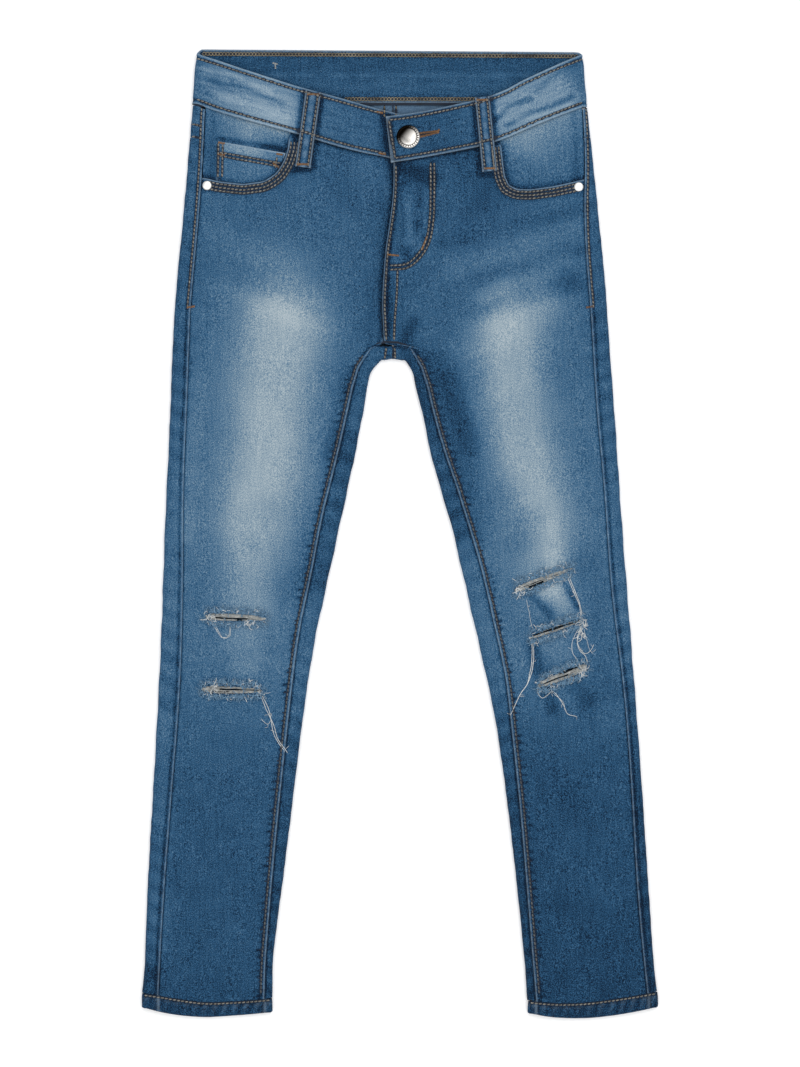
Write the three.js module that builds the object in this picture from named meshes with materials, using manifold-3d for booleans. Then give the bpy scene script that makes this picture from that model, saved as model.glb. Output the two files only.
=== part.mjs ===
// A pair of child's skinny jeans with ripped knees, laid flat on their back, front side up.
// Millimetres. +X is the wearer's left, +Y runs from the hems to the waist, +Z is up from the surface.
// The origin is on the surface, under the middle of the garment.
import * as THREE from "three";
import { mergeVertices } from "three/addons/utils/BufferGeometryUtils.js";
import Module from "manifold-3d";

const wasm = await Module();
wasm.setup();

// ---- Driving dimensions ----

const CLOTH = 1.1; // thickness of one ply of denim
const BAND_CLOTH = 2.2; // the doubled waistband
const HEM_CLOTH = 2.2; // the turned hem
const LOOP_CLOTH = 1.5; // a belt loop, folded and pressed
const FACING_CLOTH = 0.9; // the lighter ply of the fly facing
const GAP = 0.3; // clearance at every seam and between plies
const SEAM = 0.4; // gap between two outlines, a little over GAP so that it holds square to the seam

const EDGE_HEIGHT = 6.0; // height of the garment over its folded sides
const MID_HEIGHT = 4.7; // height in the middle of a leg, where the plies lie closer
const FOLD_REACH = 24; // distance over which the height falls from side to middle
const BAND_HEIGHT = 6.6; // height over the waistband
const HEM_HEIGHT = 6.2; // height over a hem
const HEM_Y = -339; // middle of the hems
const FLY_RISE = 1.2; // the plies of the fly lift the fronts by this much
const FLY_DROP = 2.8; // the right front dips under the left one by this much
const FLY_FROM_Y = 150; // the fronts lap above this height and are butted below it
const FLY_FULL_Y = 172; // and lap fully above this one
const FLY_TOP_Y = 184; // the rise of the fly is full above this height
const FLY_ZONE = { from: -34, full: -14, fade: 30, to: 46 }; // where it rises, measured from the fly edge
const FLY_DIP = { from: -13, full: -0.6 }; // where the right front goes down, measured the same way
const FLY_LAP_WIDTH = 9; // how far the right front runs on under the left one at the waist

const BAND_FOOT_Y = 313; // waistband seam of the back
const BAND_TOP_Y = 348.4; // top edge of the back waistband
const BAND_MID_Y = 328.4; // middle of the waistband at its side folds
const BAND_ENDS = { under: 22, over: -7 }; // X of the waistband's under end and of its upper one
const BAND_DIP = { from: -14, full: -36 }; // where the under end goes down below the upper one
const CENTRE_X = -5; // centre front and centre back at the crotch
const CROTCH_Y = 125.6; // lowest cloth between the legs
const CRISSCROSS_Y = 134.8; // where the four panels meet
const CROTCH_HALF = 14; // half the width of the cloth between the legs
const ARCH_FROM_Y = 100; // below this height a leg is a plain tube
const LEG_ROWS_TOP_Y = 86; // last of the evenly spaced rows of a leg
const YOKE_SIDE_Y = 285; // yoke seam at the side folds
const YOKE_CENTRE_Y = 262; // yoke seam at the centre back
const YOKE_HEAD_Y = 305; // about where the yoke's sides end at the waistband
const YOKE_RUN = 34; // how far from its side fold the head of the yoke becomes straight

const BUTTON = { x: 6, y: 284.8, radius: 8.5, rise: 3.6, shank: 3 };
const BUTTONHOLE = { radius: 3.6, endX: 27.7, endY: 288, width: 1.4 };
const RIVET = { radius: 3.2, rise: 1.3 };
const RIVETS = { rivet_right: [-138.6, 250], rivet_left: [128.4, 249] };
const DOME = [[1, 0.35], [0.86, 0.72], [0.5, 0.94], [0, 1]]; // a cap's profile, as shares of radius and rise
const CAP_CHAMFER = 0.3; // the small chamfer under a cap's rim

const LOOP_LIFT = 0.3; // further clearance of a belt loop below the waistband
const LOOP_STEP = { from: -11, to: -3 }; // where a loop climbs on to the waistband, from its seam

const MOUTH_HEAD_Y = 330; // the cutters of the pocket mouths run on to here, past the waistband seam
const MOUTH_REACH = 30; // and this far past the outseam
const MOUTH_INSET = 0.5; // the coin pocket's clearance inside the mouth
const FACING_TUCK = 7; // how far the pocket facing runs on under the front
const FACING_SIDE_YS = { middle: 275, head: 300 }; // corners of the facing along the outseam
const FLY_INSET = 0.6; // the fly facing's clearance inside the fly edge

const ROW_PITCH = 26; // spacing of the rows of a panel along the leg
const CELL_WIDTH = 16; // spacing of the columns of a front panel
const FINE_WIDTH = 5; // and near the fly, where one front dips under the other
const FLY_REACH = 32; // half the width of that strip
const STRAP_PITCH = 14; // spacing of the sections of the waistband and the hems
const BAND_RUN = 26; // length over which the back waistband rises from its side folds
const BACK_PITCH = 80; // spacing of the sections of the back waistband
const FLY_EDGE_PITCH = 10; // spacing of the corners of the fly edge
const FACING_EDGE_PITCH = 20; // and of the fly facing behind it
const FOLD_STEPS = 5; // facets round a folded side
const SLIT_STEPS = 5; // facets along each lip of a rip
const EYELET_STEPS = 12; // facets round the eyelet of the buttonhole
const LOOP_STEPS = 9; // sections along a belt loop
const CAP_STEPS = 20; // facets round a cap
const PLY_MARGIN = 4; // a ply starts this much outside its outline
const CUTTER = { foot: -10, height: 30 }; // span of a cutting block
const WELD = 1e-4; // vertices closer than this are one
const FLATNESS = 0.004; // faces flatter than this are merged

// The outline and seams of each side, as [y, x] stations from the hem to the waist.
const RIGHT = {
  outer: [
    [-345, -186.4], [-322, -184.3], [-250, -181.4], [-163, -176.4], [-77, -172], [9, -169],
    [81, -165.6], [139, -163.4], [182, -160.6], [225, -156.2], [268, -152.6], [297, -149.8], [348, -146.9],
  ],
  inner: [
    [-345, -91.4], [-307, -91.4], [-264, -85.9], [-206, -78.6], [-134, -69.8], [-77, -61.2],
    [-34, -51.8], [9, -42.5], [52, -33.1], [81, -27.4], [104, -23.6],
  ],
  outseam: [
    [-345, -174.3], [-262, -169.6], [-185, -163.7], [-111, -158], [-41, -155.9], [33, -155.4],
    [102, -152.6], [161, -150.5], [193, -147.6], [225, -144.7], [253, -142.6], [303, -140],
  ],
  inseam: [
    [-345, -97.6], [-307, -96.4], [-209, -88], [-104, -76.7], [-65, -71.3], [-30, -63.4],
    [10, -56.2], [45, -47.2], [70, -41.4], [97, -35.2],
  ],
  // Round the top of the crotch: [edge x, edge y, seam x, seam y], from the leg to the centre.
  arch: [
    [-23.4, 104, -33.6, 104], [-20.6, 115.5, -28.5, 120.5], [-14.5, 124, -18, 135.2],
    [CENTRE_X - GAP / 2, CROTCH_Y, CENTRE_X - GAP / 2, CRISSCROSS_Y],
  ],
  bandSeam: [
    [-160, 314.5], [-149, 310.3], [-126, 301.7], [-72.7, 286.6], [-40, 276.8], [-8.6, 270], [20, 266],
  ],
  bandTop: [
    [-160, 347.4], [-146.2, 344.2], [-107, 332], [-68.4, 319.7], [-56.2, 316.8], [-8.6, 303.8], [24, 299],
  ],
  hemTop: [[-190, -329.5], [-174, -331.9], [-144, -336.6], [-119, -336.2], [-88, -333.6]],
  hemFoot: [[-190, -339], [-168.5, -344.9], [-144, -347.6], [-118.8, -346.5], [-88, -343.6]],
  rips: [
    { from: [-138.2, -58.3], to: [-97.9, -61.2], fromHeight: 6, toHeight: 6 },
    { from: [-141.1, -110.2], to: [-101.5, -113], fromHeight: 8, toHeight: 7 },
  ],
};
const LEFT = {
  outer: [
    [-345, 186.4], [-322, 183.6], [-250, 178.6], [-163, 172.8], [-77, 166.3], [9, 159.6],
    [81, 154.8], [139, 150.5], [182, 147.6], [225, 143.2], [268, 139], [297, 135.4], [348, 131.8],
  ],
  inner: [
    [-345, 92], [-307, 89.3], [-264, 85], [-206, 78.5], [-134, 68.4], [-77, 56],
    [-34, 46.1], [9, 36], [52, 23], [81, 17.3], [104, 11.4],
  ],
  outseam: [
    [-345, 179.6], [-307, 175], [-256, 170.4], [-173, 165.4], [-111, 160.4], [-42, 151.9],
    [36, 146.2], [91, 141.1], [161, 136.8], [187, 134.6], [225, 132.1], [261, 133.2], [305, 131],
  ],
  inseam: [
    [-345, 98.4], [-314, 95.8], [-197, 86], [-140, 79.9], [-98, 74.9], [-61, 66.2],
    [-31, 59.8], [6, 49], [38, 38.9], [72, 27.4], [104, 19.4],
  ],
  arch: [
    [11.4, 104, 19.4, 104], [9.6, 115.5, 14.5, 119.5], [5.6, 123.4, 6.5, 133],
    [CENTRE_X + GAP / 2, CROTCH_Y, CENTRE_X + GAP / 2, CRISSCROSS_Y],
  ],
  bandSeam: [
    [-14, 265], [-5.8, 266.4], [16.6, 270], [56.9, 277.9], [68.4, 280.8], [105.1, 296.6], [134, 307.8],
    [150, 313],
  ],
  bandTop: [
    [-14, 299], [-5, 299.9], [15.1, 303.1], [52.6, 311.3], [69.1, 315.6], [92.2, 327.6], [130.3, 343.4],
    [150, 350],
  ],
  hemTop: [[88, -335], [107.3, -337.4], [129.6, -337.4], [162.7, -333.2], [190, -328.2]],
  hemFoot: [[88, -343.8], [113, -348.2], [142.6, -347.8], [171.4, -343.4], [190, -338.8]],
  rips: [
    { from: [83.5, -39.2], to: [122.8, -25.9], fromHeight: 7, toHeight: 2.4 },
    { from: [94.3, -75.3], to: [128.2, -63.8], fromHeight: 4, toHeight: 3.4 },
    { from: [100.1, -108.7], to: [132.9, -96.9], fromHeight: 7.4, toHeight: 6 },
  ],
};
// The free edge of the left front over the fly, as [y, x] stations.
const FLY_EDGE = [
  [134, -8], [150, -9.4], [168, -10.8], [184, -10.4], [202, -9], [222, -6], [245, -4.3], [272, -5.4],
];
// How far the right front runs on under that edge.
const FLY_LAP = [[134, 0], [166, 0], [178, 5], [190, FLY_LAP_WIDTH], [272, FLY_LAP_WIDTH]];
// The curved end of the fly facing, from the waistband round to the fly edge.
const FLY_FACING = [
  [26.4, 264.6], [26.4, 241.9], [25.8, 226], [21.8, 206.6], [15.4, 196], [7.4, 190], [-7, 187.6],
];

// Pocket mouths, from the waistband seam round to the outseam.
const POCKET_RIGHT = [
  [-79.4, 292], [-80, 284], [-80.8, 276], [-83.6, 267.6], [-88.8, 259], [-97.9, 253.2],
  [-113, 251.2], [-131, 253.2], [-139.6, 255.4], [-156, 257.5],
];
const POCKET_LEFT = [
  [72, 288], [73, 276], [74.2, 266], [75.4, 257], [78.4, 250.4], [84.5, 247.6],
  [94.3, 247.4], [110.2, 249.6], [126, 253], [150, 258.5],
];
const COIN_POCKET = [[-130.6, 281.9], [-133, 240], [-82, 240], [-80, 273]];

// Belt loops: the middle of the top end and of the foot, and the width.
const LOOP_RIGHT = { top: [-62.3, 317.5], foot: [-69.8, 263.2], width: 11.6 };
const LOOP_LEFT = { top: [59, 313.5], foot: [64.4, 260.3], width: 11 };

// Broad soft folds of the fronts: a ridge, or a trough where rise is negative, from one point to another.
const FOLDS = [
  { from: [50, 168], to: [124, 204], reach: 9, rise: 0.7 },
  { from: [44, 142], to: [112, 176], reach: 9, rise: -0.5 },
  { from: [-128, 190], to: [-60, 160], reach: 10, rise: 0.6 },
  { from: [-30, 112], to: [-104, 70], reach: 12, rise: 0.6 },
  { from: [28, 92], to: [112, 44], reach: 12, rise: 0.6 },
  { from: [-150, -84], to: [-84, -86], reach: 11, rise: 0.8 },
  { from: [78, -58], to: [144, -44], reach: 9, rise: 0.7 },
  { from: [86, -92], to: [146, -80], reach: 9, rise: 0.8 },
  { from: [-160, -190], to: [-100, -176], reach: 14, rise: 0.5 },
  { from: [96, -176], to: [160, -196], reach: 14, rise: 0.5 },
];

// ---- Curves and heights ----

// A smooth line through [t, value] stations; beyond the ends it goes on straight.
function along(stations, t) {
  const last = stations.length - 1;
  let i = 0;
  while (i < last - 1 && t > stations[i + 1][0]) i += 1;
  const slope = (a, b) => (stations[b][1] - stations[a][1]) / (stations[b][0] - stations[a][0]);
  const [t0, v0] = stations[i];
  const [t1, v1] = stations[i + 1];
  const m0 = slope(Math.max(i - 1, 0), i + 1);
  const m1 = slope(i, Math.min(i + 2, last));
  if (t <= stations[0][0]) return v0 + (t - t0) * m0;
  if (t >= stations[last][0]) return v1 + (t - t1) * m1;
  const span = t1 - t0;
  const u = (t - t0) / span;
  const rise = u * u * (3 - 2 * u);
  return v0 + (v1 - v0) * rise + span * (m0 * u * (1 - u) ** 2 - m1 * u * u * (1 - u));
}

const { smoothstep, lerp } = THREE.MathUtils;

function distanceToSegment([x, y], [ax, ay], [bx, by]) {
  const length2 = (bx - ax) ** 2 + (by - ay) ** 2;
  const u = THREE.MathUtils.clamp(((x - ax) * (bx - ax) + (y - ay) * (by - ay)) / length2, 0, 1);
  return Math.hypot(x - lerp(ax, bx, u), y - lerp(ay, by, u));
}

// Height of the garment's upper face. The sides stand a little higher than the middle of a leg.
function faceHeight(x, y) {
  const side = x < CENTRE_X ? RIGHT : LEFT;
  const fromCrotch = Math.max(Math.abs(x - CENTRE_X) - CROTCH_HALF, 0);
  let toFold = Math.abs(x - along(side.outer, y));
  if (y < ARCH_FROM_Y) toFold = Math.min(toFold, Math.abs(x - along(side.inner, y)));
  else toFold = Math.min(toFold, Math.hypot(fromCrotch, y - ARCH_FROM_Y));
  let height = lerp(MID_HEIGHT, EDGE_HEIGHT, Math.exp(-((toFold / FOLD_REACH) ** 2)));
  for (const { from, to, reach, rise } of FOLDS) {
    height += rise * Math.exp(-((distanceToSegment([x, y], from, to) / reach) ** 2));
  }
  const flyX = x - along(FLY_EDGE, y);
  const { from, full, fade, to } = FLY_ZONE;
  const flyZone = smoothstep(flyX, from, full) * (1 - smoothstep(flyX, fade, to));
  return height + FLY_RISE * flyZone * smoothstep(y, FLY_FROM_Y, FLY_TOP_Y);
}

// The right front follows the same face but dips under the left one at the fly.
function rightFrontHeight(x, y) {
  const toward = smoothstep(x - along(FLY_EDGE, y), FLY_DIP.from, FLY_DIP.full);
  return faceHeight(x, y) - FLY_DROP * toward * smoothstep(y, FLY_FROM_Y, FLY_FULL_Y);
}

// Which way along X the garment's middle lies from a side.
const inwardOf = (side) => (side === RIGHT ? 1 : -1);

// X of the waistband's side fold, and of the sections of the waistband and the hem.
const bandFoldX = (side) => along(side.outer, BAND_MID_Y) + inwardOf(side) * (BAND_HEIGHT / 2);
const bandEndX = (side) => (side === RIGHT ? BAND_ENDS.under : BAND_ENDS.over);
const bandStations = (side) => places(bandFoldX(side), bandEndX(side), STRAP_PITCH);
function hemStations(side) {
  const turn = inwardOf(side) * (HEM_HEIGHT / 2);
  return places(along(side.outer, HEM_Y) + turn, along(side.inner, HEM_Y) - turn, STRAP_PITCH);
}

// ---- Building solids ----

// Six times the volume that the faces enclose, negative where they look inwards.
function enclosed(points, index) {
  let sum = 0;
  for (let i = 0; i < index.length; i += 3) {
    const [a, b, c] = [points[index[i]], points[index[i + 1]], points[index[i + 2]]];
    sum += a[0] * (b[1] * c[2] - b[2] * c[1]);
    sum += a[1] * (b[2] * c[0] - b[0] * c[2]);
    sum += a[2] * (b[0] * c[1] - b[1] * c[0]);
  }
  return sum;
}

// Makes a closed wall from a sheet: every vertex has an outer and an inner place, and the faces all
// turn the same way. Open edges are closed from outer to inner, and the result faces outwards.
function wall(outer, inner, faces) {
  const count = outer.length;
  const directed = new Set(faces.flatMap(([a, b, c]) => [`${a}:${b}`, `${b}:${c}`, `${c}:${a}`]));
  const index = [];
  for (const [a, b, c] of faces) {
    index.push(a, b, c, c + count, b + count, a + count);
    for (const [p, q] of [[a, b], [b, c], [c, a]]) {
      if (directed.has(`${q}:${p}`)) continue;
      index.push(q, p, p + count, q, p + count, q + count);
    }
  }
  const points = [...outer, ...inner];
  if (enclosed(points, index) < 0) index.reverse();
  const geometry = new THREE.BufferGeometry();
  geometry.setAttribute("position", new THREE.Float32BufferAttribute(points.flat(), 3));
  geometry.setIndex(index);
  return geometry;
}

// Faces of a grid of rows of equal length; a closed grid joins its last row to its first.
function gridFaces(rows, columns, closed = false) {
  const faces = [];
  for (let j = 0; j < (closed ? rows : rows - 1); j += 1) {
    const next = ((j + 1) % rows) * columns;
    for (let i = 0; i < columns - 1; i += 1) {
      const [a, b, c, d] = [j * columns + i, j * columns + i + 1, next + i + 1, next + i];
      faces.push([a, b, c], [a, c, d]);
    }
  }
  return faces;
}

// A strap: each station gives the places of its two edges, outside and inside.
function strap(stations, closed = false) {
  const outer = stations.flatMap(({ outside }) => outside);
  const inner = stations.flatMap(({ inside }) => inside);
  return wall(outer, inner, gridFaces(stations.length, 2, closed));
}

function toSolid(geometry) {
  const bare = geometry.clone().deleteAttribute("normal").deleteAttribute("uv");
  const merged = mergeVertices(bare, WELD);
  return new wasm.Manifold(
    new wasm.Mesh({
      numProp: 3,
      vertProperties: new Float32Array(merged.attributes.position.array),
      triVerts: new Uint32Array(merged.index.array),
    }),
  );
}

function toGeometry(solid) {
  const mesh = solid.simplify(FLATNESS).getMesh();
  const geometry = new THREE.BufferGeometry();
  geometry.setAttribute("position", new THREE.Float32BufferAttribute(mesh.vertProperties, 3));
  geometry.setIndex([...mesh.triVerts]);
  return geometry;
}

// An upright block with the given outline, taller than the garment.
function block(outline) {
  const shape = new THREE.Shape(outline.map(([x, y]) => new THREE.Vector2(x, y)));
  const geometry = new THREE.ExtrudeGeometry(shape, { depth: CUTTER.height, bevelEnabled: false });
  return toSolid(geometry.translate(0, 0, CUTTER.foot));
}

// A ply of cloth whose upper face is at height(x, y), cut to an outline.
function ply(outline, height, thickness) {
  const xs = outline.map(([x]) => x);
  const ys = outline.map(([, y]) => y);
  const west = Math.min(...xs) - PLY_MARGIN;
  const south = Math.min(...ys) - PLY_MARGIN;
  const east = Math.max(...xs) + PLY_MARGIN;
  const rows = Math.ceil((Math.max(...ys) + PLY_MARGIN - south) / ROW_PITCH) + 1;
  const columns = [west];
  while (columns.at(-1) < east) {
    const nearFly = Math.abs(columns.at(-1) - CENTRE_X) < FLY_REACH;
    columns.push(columns.at(-1) + (nearFly ? FINE_WIDTH : CELL_WIDTH));
  }
  const points = [];
  for (let j = 0; j < rows; j += 1) {
    const y = south + j * ROW_PITCH;
    for (const x of columns) points.push([x, y, height(x, y)]);
  }
  const under = points.map(([x, y, z]) => [x, y, z - thickness]);
  return toSolid(wall(points, under, gridFaces(rows, columns.length))).intersect(block(outline));
}

// A rip: a lens between two ends, open more on one side where the heights differ.
function ripOutline({ from, to, fromHeight, toHeight }) {
  const lip = (sign) => {
    const points = [];
    for (let i = 1; i < SLIT_STEPS; i += 1) {
      const u = i / SLIT_STEPS;
      const open = lerp(fromHeight, toHeight, u) * Math.sin(Math.PI * u) ** 0.5;
      points.push([lerp(from[0], to[0], u), lerp(from[1], to[1], u) + (sign * open) / 2]);
    }
    return points;
  };
  return [from, ...lip(-1), to, ...lip(1).reverse()];
}

// Places at a spacing of about pitch from one value to another, both included.
function places(from, to, pitch) {
  const steps = Math.max(Math.round(Math.abs(to - from) / pitch), 1);
  return Array.from({ length: steps + 1 }, (_, i) => lerp(from, to, i / steps));
}

// ---- Back pieces: a flat underside whose sides fold over on to the front ----

// One row across a folded side: the lip up to the seam, then round the fold, to the foot of the fold.
function foldRow({ edge, inward, seam }) {
  const height = faceHeight(...seam);
  const radius = faceHeight(edge[0] + inward[0], edge[1] + inward[1]) / 2;
  const outside = [[...seam, height]];
  const inside = [[...seam, height - CLOTH]];
  for (let i = 0; i <= FOLD_STEPS; i += 1) {
    const angle = (Math.PI * i) / FOLD_STEPS;
    const place = (r) => {
      const inset = radius - r * Math.sin(angle);
      return [edge[0] + inward[0] * inset, edge[1] + inward[1] * inset, radius + r * Math.cos(angle)];
    };
    outside.push(place(radius));
    inside.push(place(radius - CLOTH));
  }
  return { outside, inside };
}

// Rows down or up one side of a panel; each takes its inward direction from its neighbours.
function foldRows(pairs, turn) {
  return pairs.map(([ex, ey, sx, sy], k) => {
    const before = pairs[Math.max(k - 1, 0)];
    const after = pairs[Math.min(k + 1, pairs.length - 1)];
    const length = Math.hypot(after[0] - before[0], after[1] - before[1]);
    const inward = [(-turn * (after[1] - before[1])) / length, (turn * (after[0] - before[0])) / length];
    return foldRow({ edge: [ex, ey], inward, seam: [sx, sy] });
  });
}

// Joins one or two folded sides to a flat underside. The outline of the underside is the feet of the
// first side, then hem points, the feet of the second side, and the points that close it.
function foldedPiece(firstSide, hemPoints, secondSide, closingPoints) {
  const outer = [];
  const inner = [];
  const faces = [];
  const floor = [];
  const addSide = (rows) => {
    const start = outer.length;
    const columns = rows[0].outside.length;
    rows.forEach(({ outside, inside }, j) => {
      outer.push(...outside);
      inner.push(...inside);
      floor.push(start + j * columns + columns - 1);
    });
    faces.push(...gridFaces(rows.length, columns).map(([a, b, c]) => [a + start, b + start, c + start]));
  };
  const addFloor = (points) => {
    for (const [x, y] of points) {
      floor.push(outer.length);
      outer.push([x, y, 0]);
      inner.push([x, y, CLOTH]);
    }
  };
  addSide(firstSide);
  addFloor(hemPoints);
  if (secondSide.length > 0) addSide(secondSide);
  addFloor(closingPoints);
  const contour = floor.map((i) => new THREE.Vector2(outer[i][0], outer[i][1]));
  const clockwise = THREE.ShapeUtils.area(contour) < 0;
  for (const [a, b, c] of THREE.ShapeUtils.triangulateShape(contour, [])) {
    const face = [floor[a], floor[b], floor[c]];
    faces.push(clockwise ? face : face.reverse());
  }
  return wall(outer, inner, faces);
}

function sidePairs(side, fromY, toY) {
  const shift = (-inwardOf(side) * GAP) / 2;
  const row = (y) => [along(side.outer, y), y, along(side.outseam, y) + shift, y];
  return places(fromY, toY, ROW_PITCH).map(row);
}

function innerPairs(side, fromY) {
  const shift = (inwardOf(side) * GAP) / 2;
  const leg = places(fromY, LEG_ROWS_TOP_Y, ROW_PITCH);
  const pairs = leg.map((y) => [along(side.inner, y), y, along(side.inseam, y) + shift, y]);
  return [...pairs, ...side.arch];
}

// The rows of a back panel's two sides, and of its yoke's.
const outerPairs = (side) => sidePairs(side, YOKE_SIDE_Y - GAP, along(side.hemTop, side.outer[0][1]) + SEAM);
const legPairs = (side) => innerPairs(side, along(side.hemTop, side.inner[0][1]) + SEAM);
function yokePairs(side) {
  const seamX = along(side.outseam, YOKE_HEAD_Y);
  const head = Math.min(along(side.bandSeam, bandFoldX(side)), along(side.bandSeam, seamX));
  return sidePairs(side, head - 2 * SEAM, YOKE_SIDE_Y);
}

function backPanel(side) {
  const turn = inwardOf(side);
  const outerRows = foldRows(outerPairs(side), turn);
  const innerRows = foldRows(legPairs(side), turn);
  const hemPoints = hemStations(side).slice(1, -1).map((x) => [x, along(side.hemTop, x) + SEAM]);
  const centreX = CENTRE_X - turn * (GAP / 2);
  return foldedPiece(outerRows, hemPoints, innerRows, [[centreX, YOKE_CENTRE_Y - GAP]]);
}

function yoke(side) {
  const turn = inwardOf(side);
  const rows = foldRows(yokePairs(side), turn);
  const centreX = CENTRE_X - turn * (GAP / 2);
  const top = BAND_FOOT_Y - GAP;
  const runX = bandFoldX(side) + turn * YOKE_RUN;
  return foldedPiece(rows, [], [], [[centreX, YOKE_CENTRE_Y], [centreX, top], [runX, top]]);
}

// ---- Front pieces ----

// Runs up the outseam, along the waistband, down the centre front and down the inseam to the hem.
function frontOutline(side, centre) {
  const inward = inwardOf(side) * SEAM;
  const outseam = [...yokePairs(side), ...outerPairs(side)].reverse();
  const inseam = legPairs(side).reverse().slice(1);
  // The stations more than 1 mm inside two values, in the order from the first value to the second.
  const between = (stations, from, to) => {
    const [low, high] = [Math.min(from, to) + 1, Math.max(from, to) - 1];
    const inside = stations.filter((x) => x > low && x < high);
    return from < to === inside[0] < inside.at(-1) ? inside : inside.reverse();
  };
  const outer = outseam.map(([, , x, y]) => [x + inward, y]);
  const inner = inseam.map(([, , x, y]) => [x - inward, y > ARCH_FROM_Y ? y + SEAM : y]);
  const waist = between(bandStations(side), outer.at(-1)[0], centre[0][0]);
  const hem = between(hemStations(side), inner.at(-1)[0], outer[0][0]);
  return [
    ...outer,
    ...waist.map((x) => [x, along(side.bandSeam, x) - SEAM]),
    ...centre,
    ...inner,
    ...hem.map((x) => [x, along(side.hemTop, x) + SEAM]),
  ];
}

// A block that fills a pocket mouth, up past the waistband and out past the outseam.
function mouthBlock(side, mouth) {
  const beyond = along(side.outseam, MOUTH_HEAD_Y) - inwardOf(side) * MOUTH_REACH;
  return block([...mouth, [beyond, MOUTH_HEAD_Y], [mouth[0][0], MOUTH_HEAD_Y]]);
}

function frontPanel(side, centre, height, mouth) {
  let solid = ply(frontOutline(side, centre), height, CLOTH).subtract(mouthBlock(side, mouth));
  for (const rip of side.rips) solid = solid.subtract(block(ripOutline(rip)));
  return toGeometry(solid);
}

// The facing fills the pocket mouth and runs on under the panel round it.
function pocketFacing(side, mouth) {
  const inward = inwardOf(side);
  const sideX = (y) => along(side.outseam, y) + (inward * GAP) / 2;
  const edge = mouth.slice(1, -1).map(([x, y]) => [x + inward * FACING_TUCK, y - FACING_TUCK]);
  const footOfFold = along(side.bandSeam, bandFoldX(side));
  const footY = edge.at(-1)[1];
  const { middle, head } = FACING_SIDE_YS;
  const top = places(sideX(head), edge[0][0], STRAP_PITCH);
  const outline = [
    [sideX(footY), footY],
    [sideX(middle), middle],
    ...top.map((x) => [x, Math.min(along(side.bandSeam, x), footOfFold) - SEAM]),
    ...edge,
  ];
  return toGeometry(ply(outline, (x, y) => faceHeight(x, y) - CLOTH - GAP, CLOTH));
}

function coinPocket() {
  const mouth = POCKET_RIGHT.map(([x, y]) => [x - MOUTH_INSET, y + MOUTH_INSET]);
  return toGeometry(ply(COIN_POCKET, faceHeight, CLOTH).intersect(mouthBlock(RIGHT, mouth)));
}

function flyFacing() {
  const [headY, footY] = [FLY_FACING[0][1], FLY_FACING.at(-1)[1]];
  const edge = places(footY, headY, FACING_EDGE_PITCH).map((y) => [along(FLY_EDGE, y) + FLY_INSET, y]);
  const outline = [...edge, ...FLY_FACING.slice(0, -1)];
  return toGeometry(ply(outline, (x, y) => faceHeight(x, y) - CLOTH - GAP, FACING_CLOTH));
}

// ---- Waistband, hems, loops and metal ----

// The band starts with the under end at the button, runs round the back and ends over its start.
function waistband() {
  const stations = [];
  const flat = (x, side, top) => {
    const [foot, head] = [along(side.bandSeam, x), along(side.bandTop, x)];
    stations.push({
      outside: [[x, foot, top], [x, head, top]],
      inside: [[x, foot, top - BAND_CLOTH], [x, head, top - BAND_CLOTH]],
    });
  };
  const radius = BAND_HEIGHT / 2;
  const fold = (side, direction) => {
    const centreX = bandFoldX(side);
    const [foot, head] = [along(side.bandSeam, centreX), along(side.bandTop, centreX)];
    const from = direction < 0 ? 1 : FOLD_STEPS - 1;
    for (let k = 0; k < FOLD_STEPS - 1; k += 1) {
      const i = from - direction * k;
      const angle = (Math.PI * i) / FOLD_STEPS;
      const place = (r, low) => {
        const y = low ? foot : lerp(head, BAND_TOP_Y, i / FOLD_STEPS);
        return [centreX + direction * r * Math.sin(angle), y, radius + r * Math.cos(angle)];
      };
      const inner = radius - BAND_CLOTH;
      stations.push({
        outside: [place(radius, true), place(radius, false)],
        inside: [place(inner, true), place(inner, false)],
      });
    }
  };
  const back = (x, foot) => stations.push({
    outside: [[x, foot, 0], [x, BAND_TOP_Y, 0]],
    inside: [[x, foot, BAND_CLOTH], [x, BAND_TOP_Y, BAND_CLOTH]],
  });
  const [rightFold, leftFold] = [bandFoldX(RIGHT), bandFoldX(LEFT)];
  const underEnd = BAND_HEIGHT - BAND_CLOTH - GAP;
  for (const x of bandStations(RIGHT).reverse()) {
    flat(x, RIGHT, lerp(BAND_HEIGHT, underEnd, smoothstep(x, BAND_DIP.full, BAND_DIP.from)));
  }
  fold(RIGHT, -1);
  back(rightFold, along(RIGHT.bandSeam, rightFold));
  places(rightFold + BAND_RUN, leftFold - BAND_RUN, BACK_PITCH).forEach((x) => back(x, BAND_FOOT_Y));
  back(leftFold, along(LEFT.bandSeam, leftFold));
  fold(LEFT, 1);
  for (const x of bandStations(LEFT)) flat(x, LEFT, BAND_HEIGHT);
  const band = toSolid(strap(stations));
  return toGeometry(band.subtract(buttonhole()));
}

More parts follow.
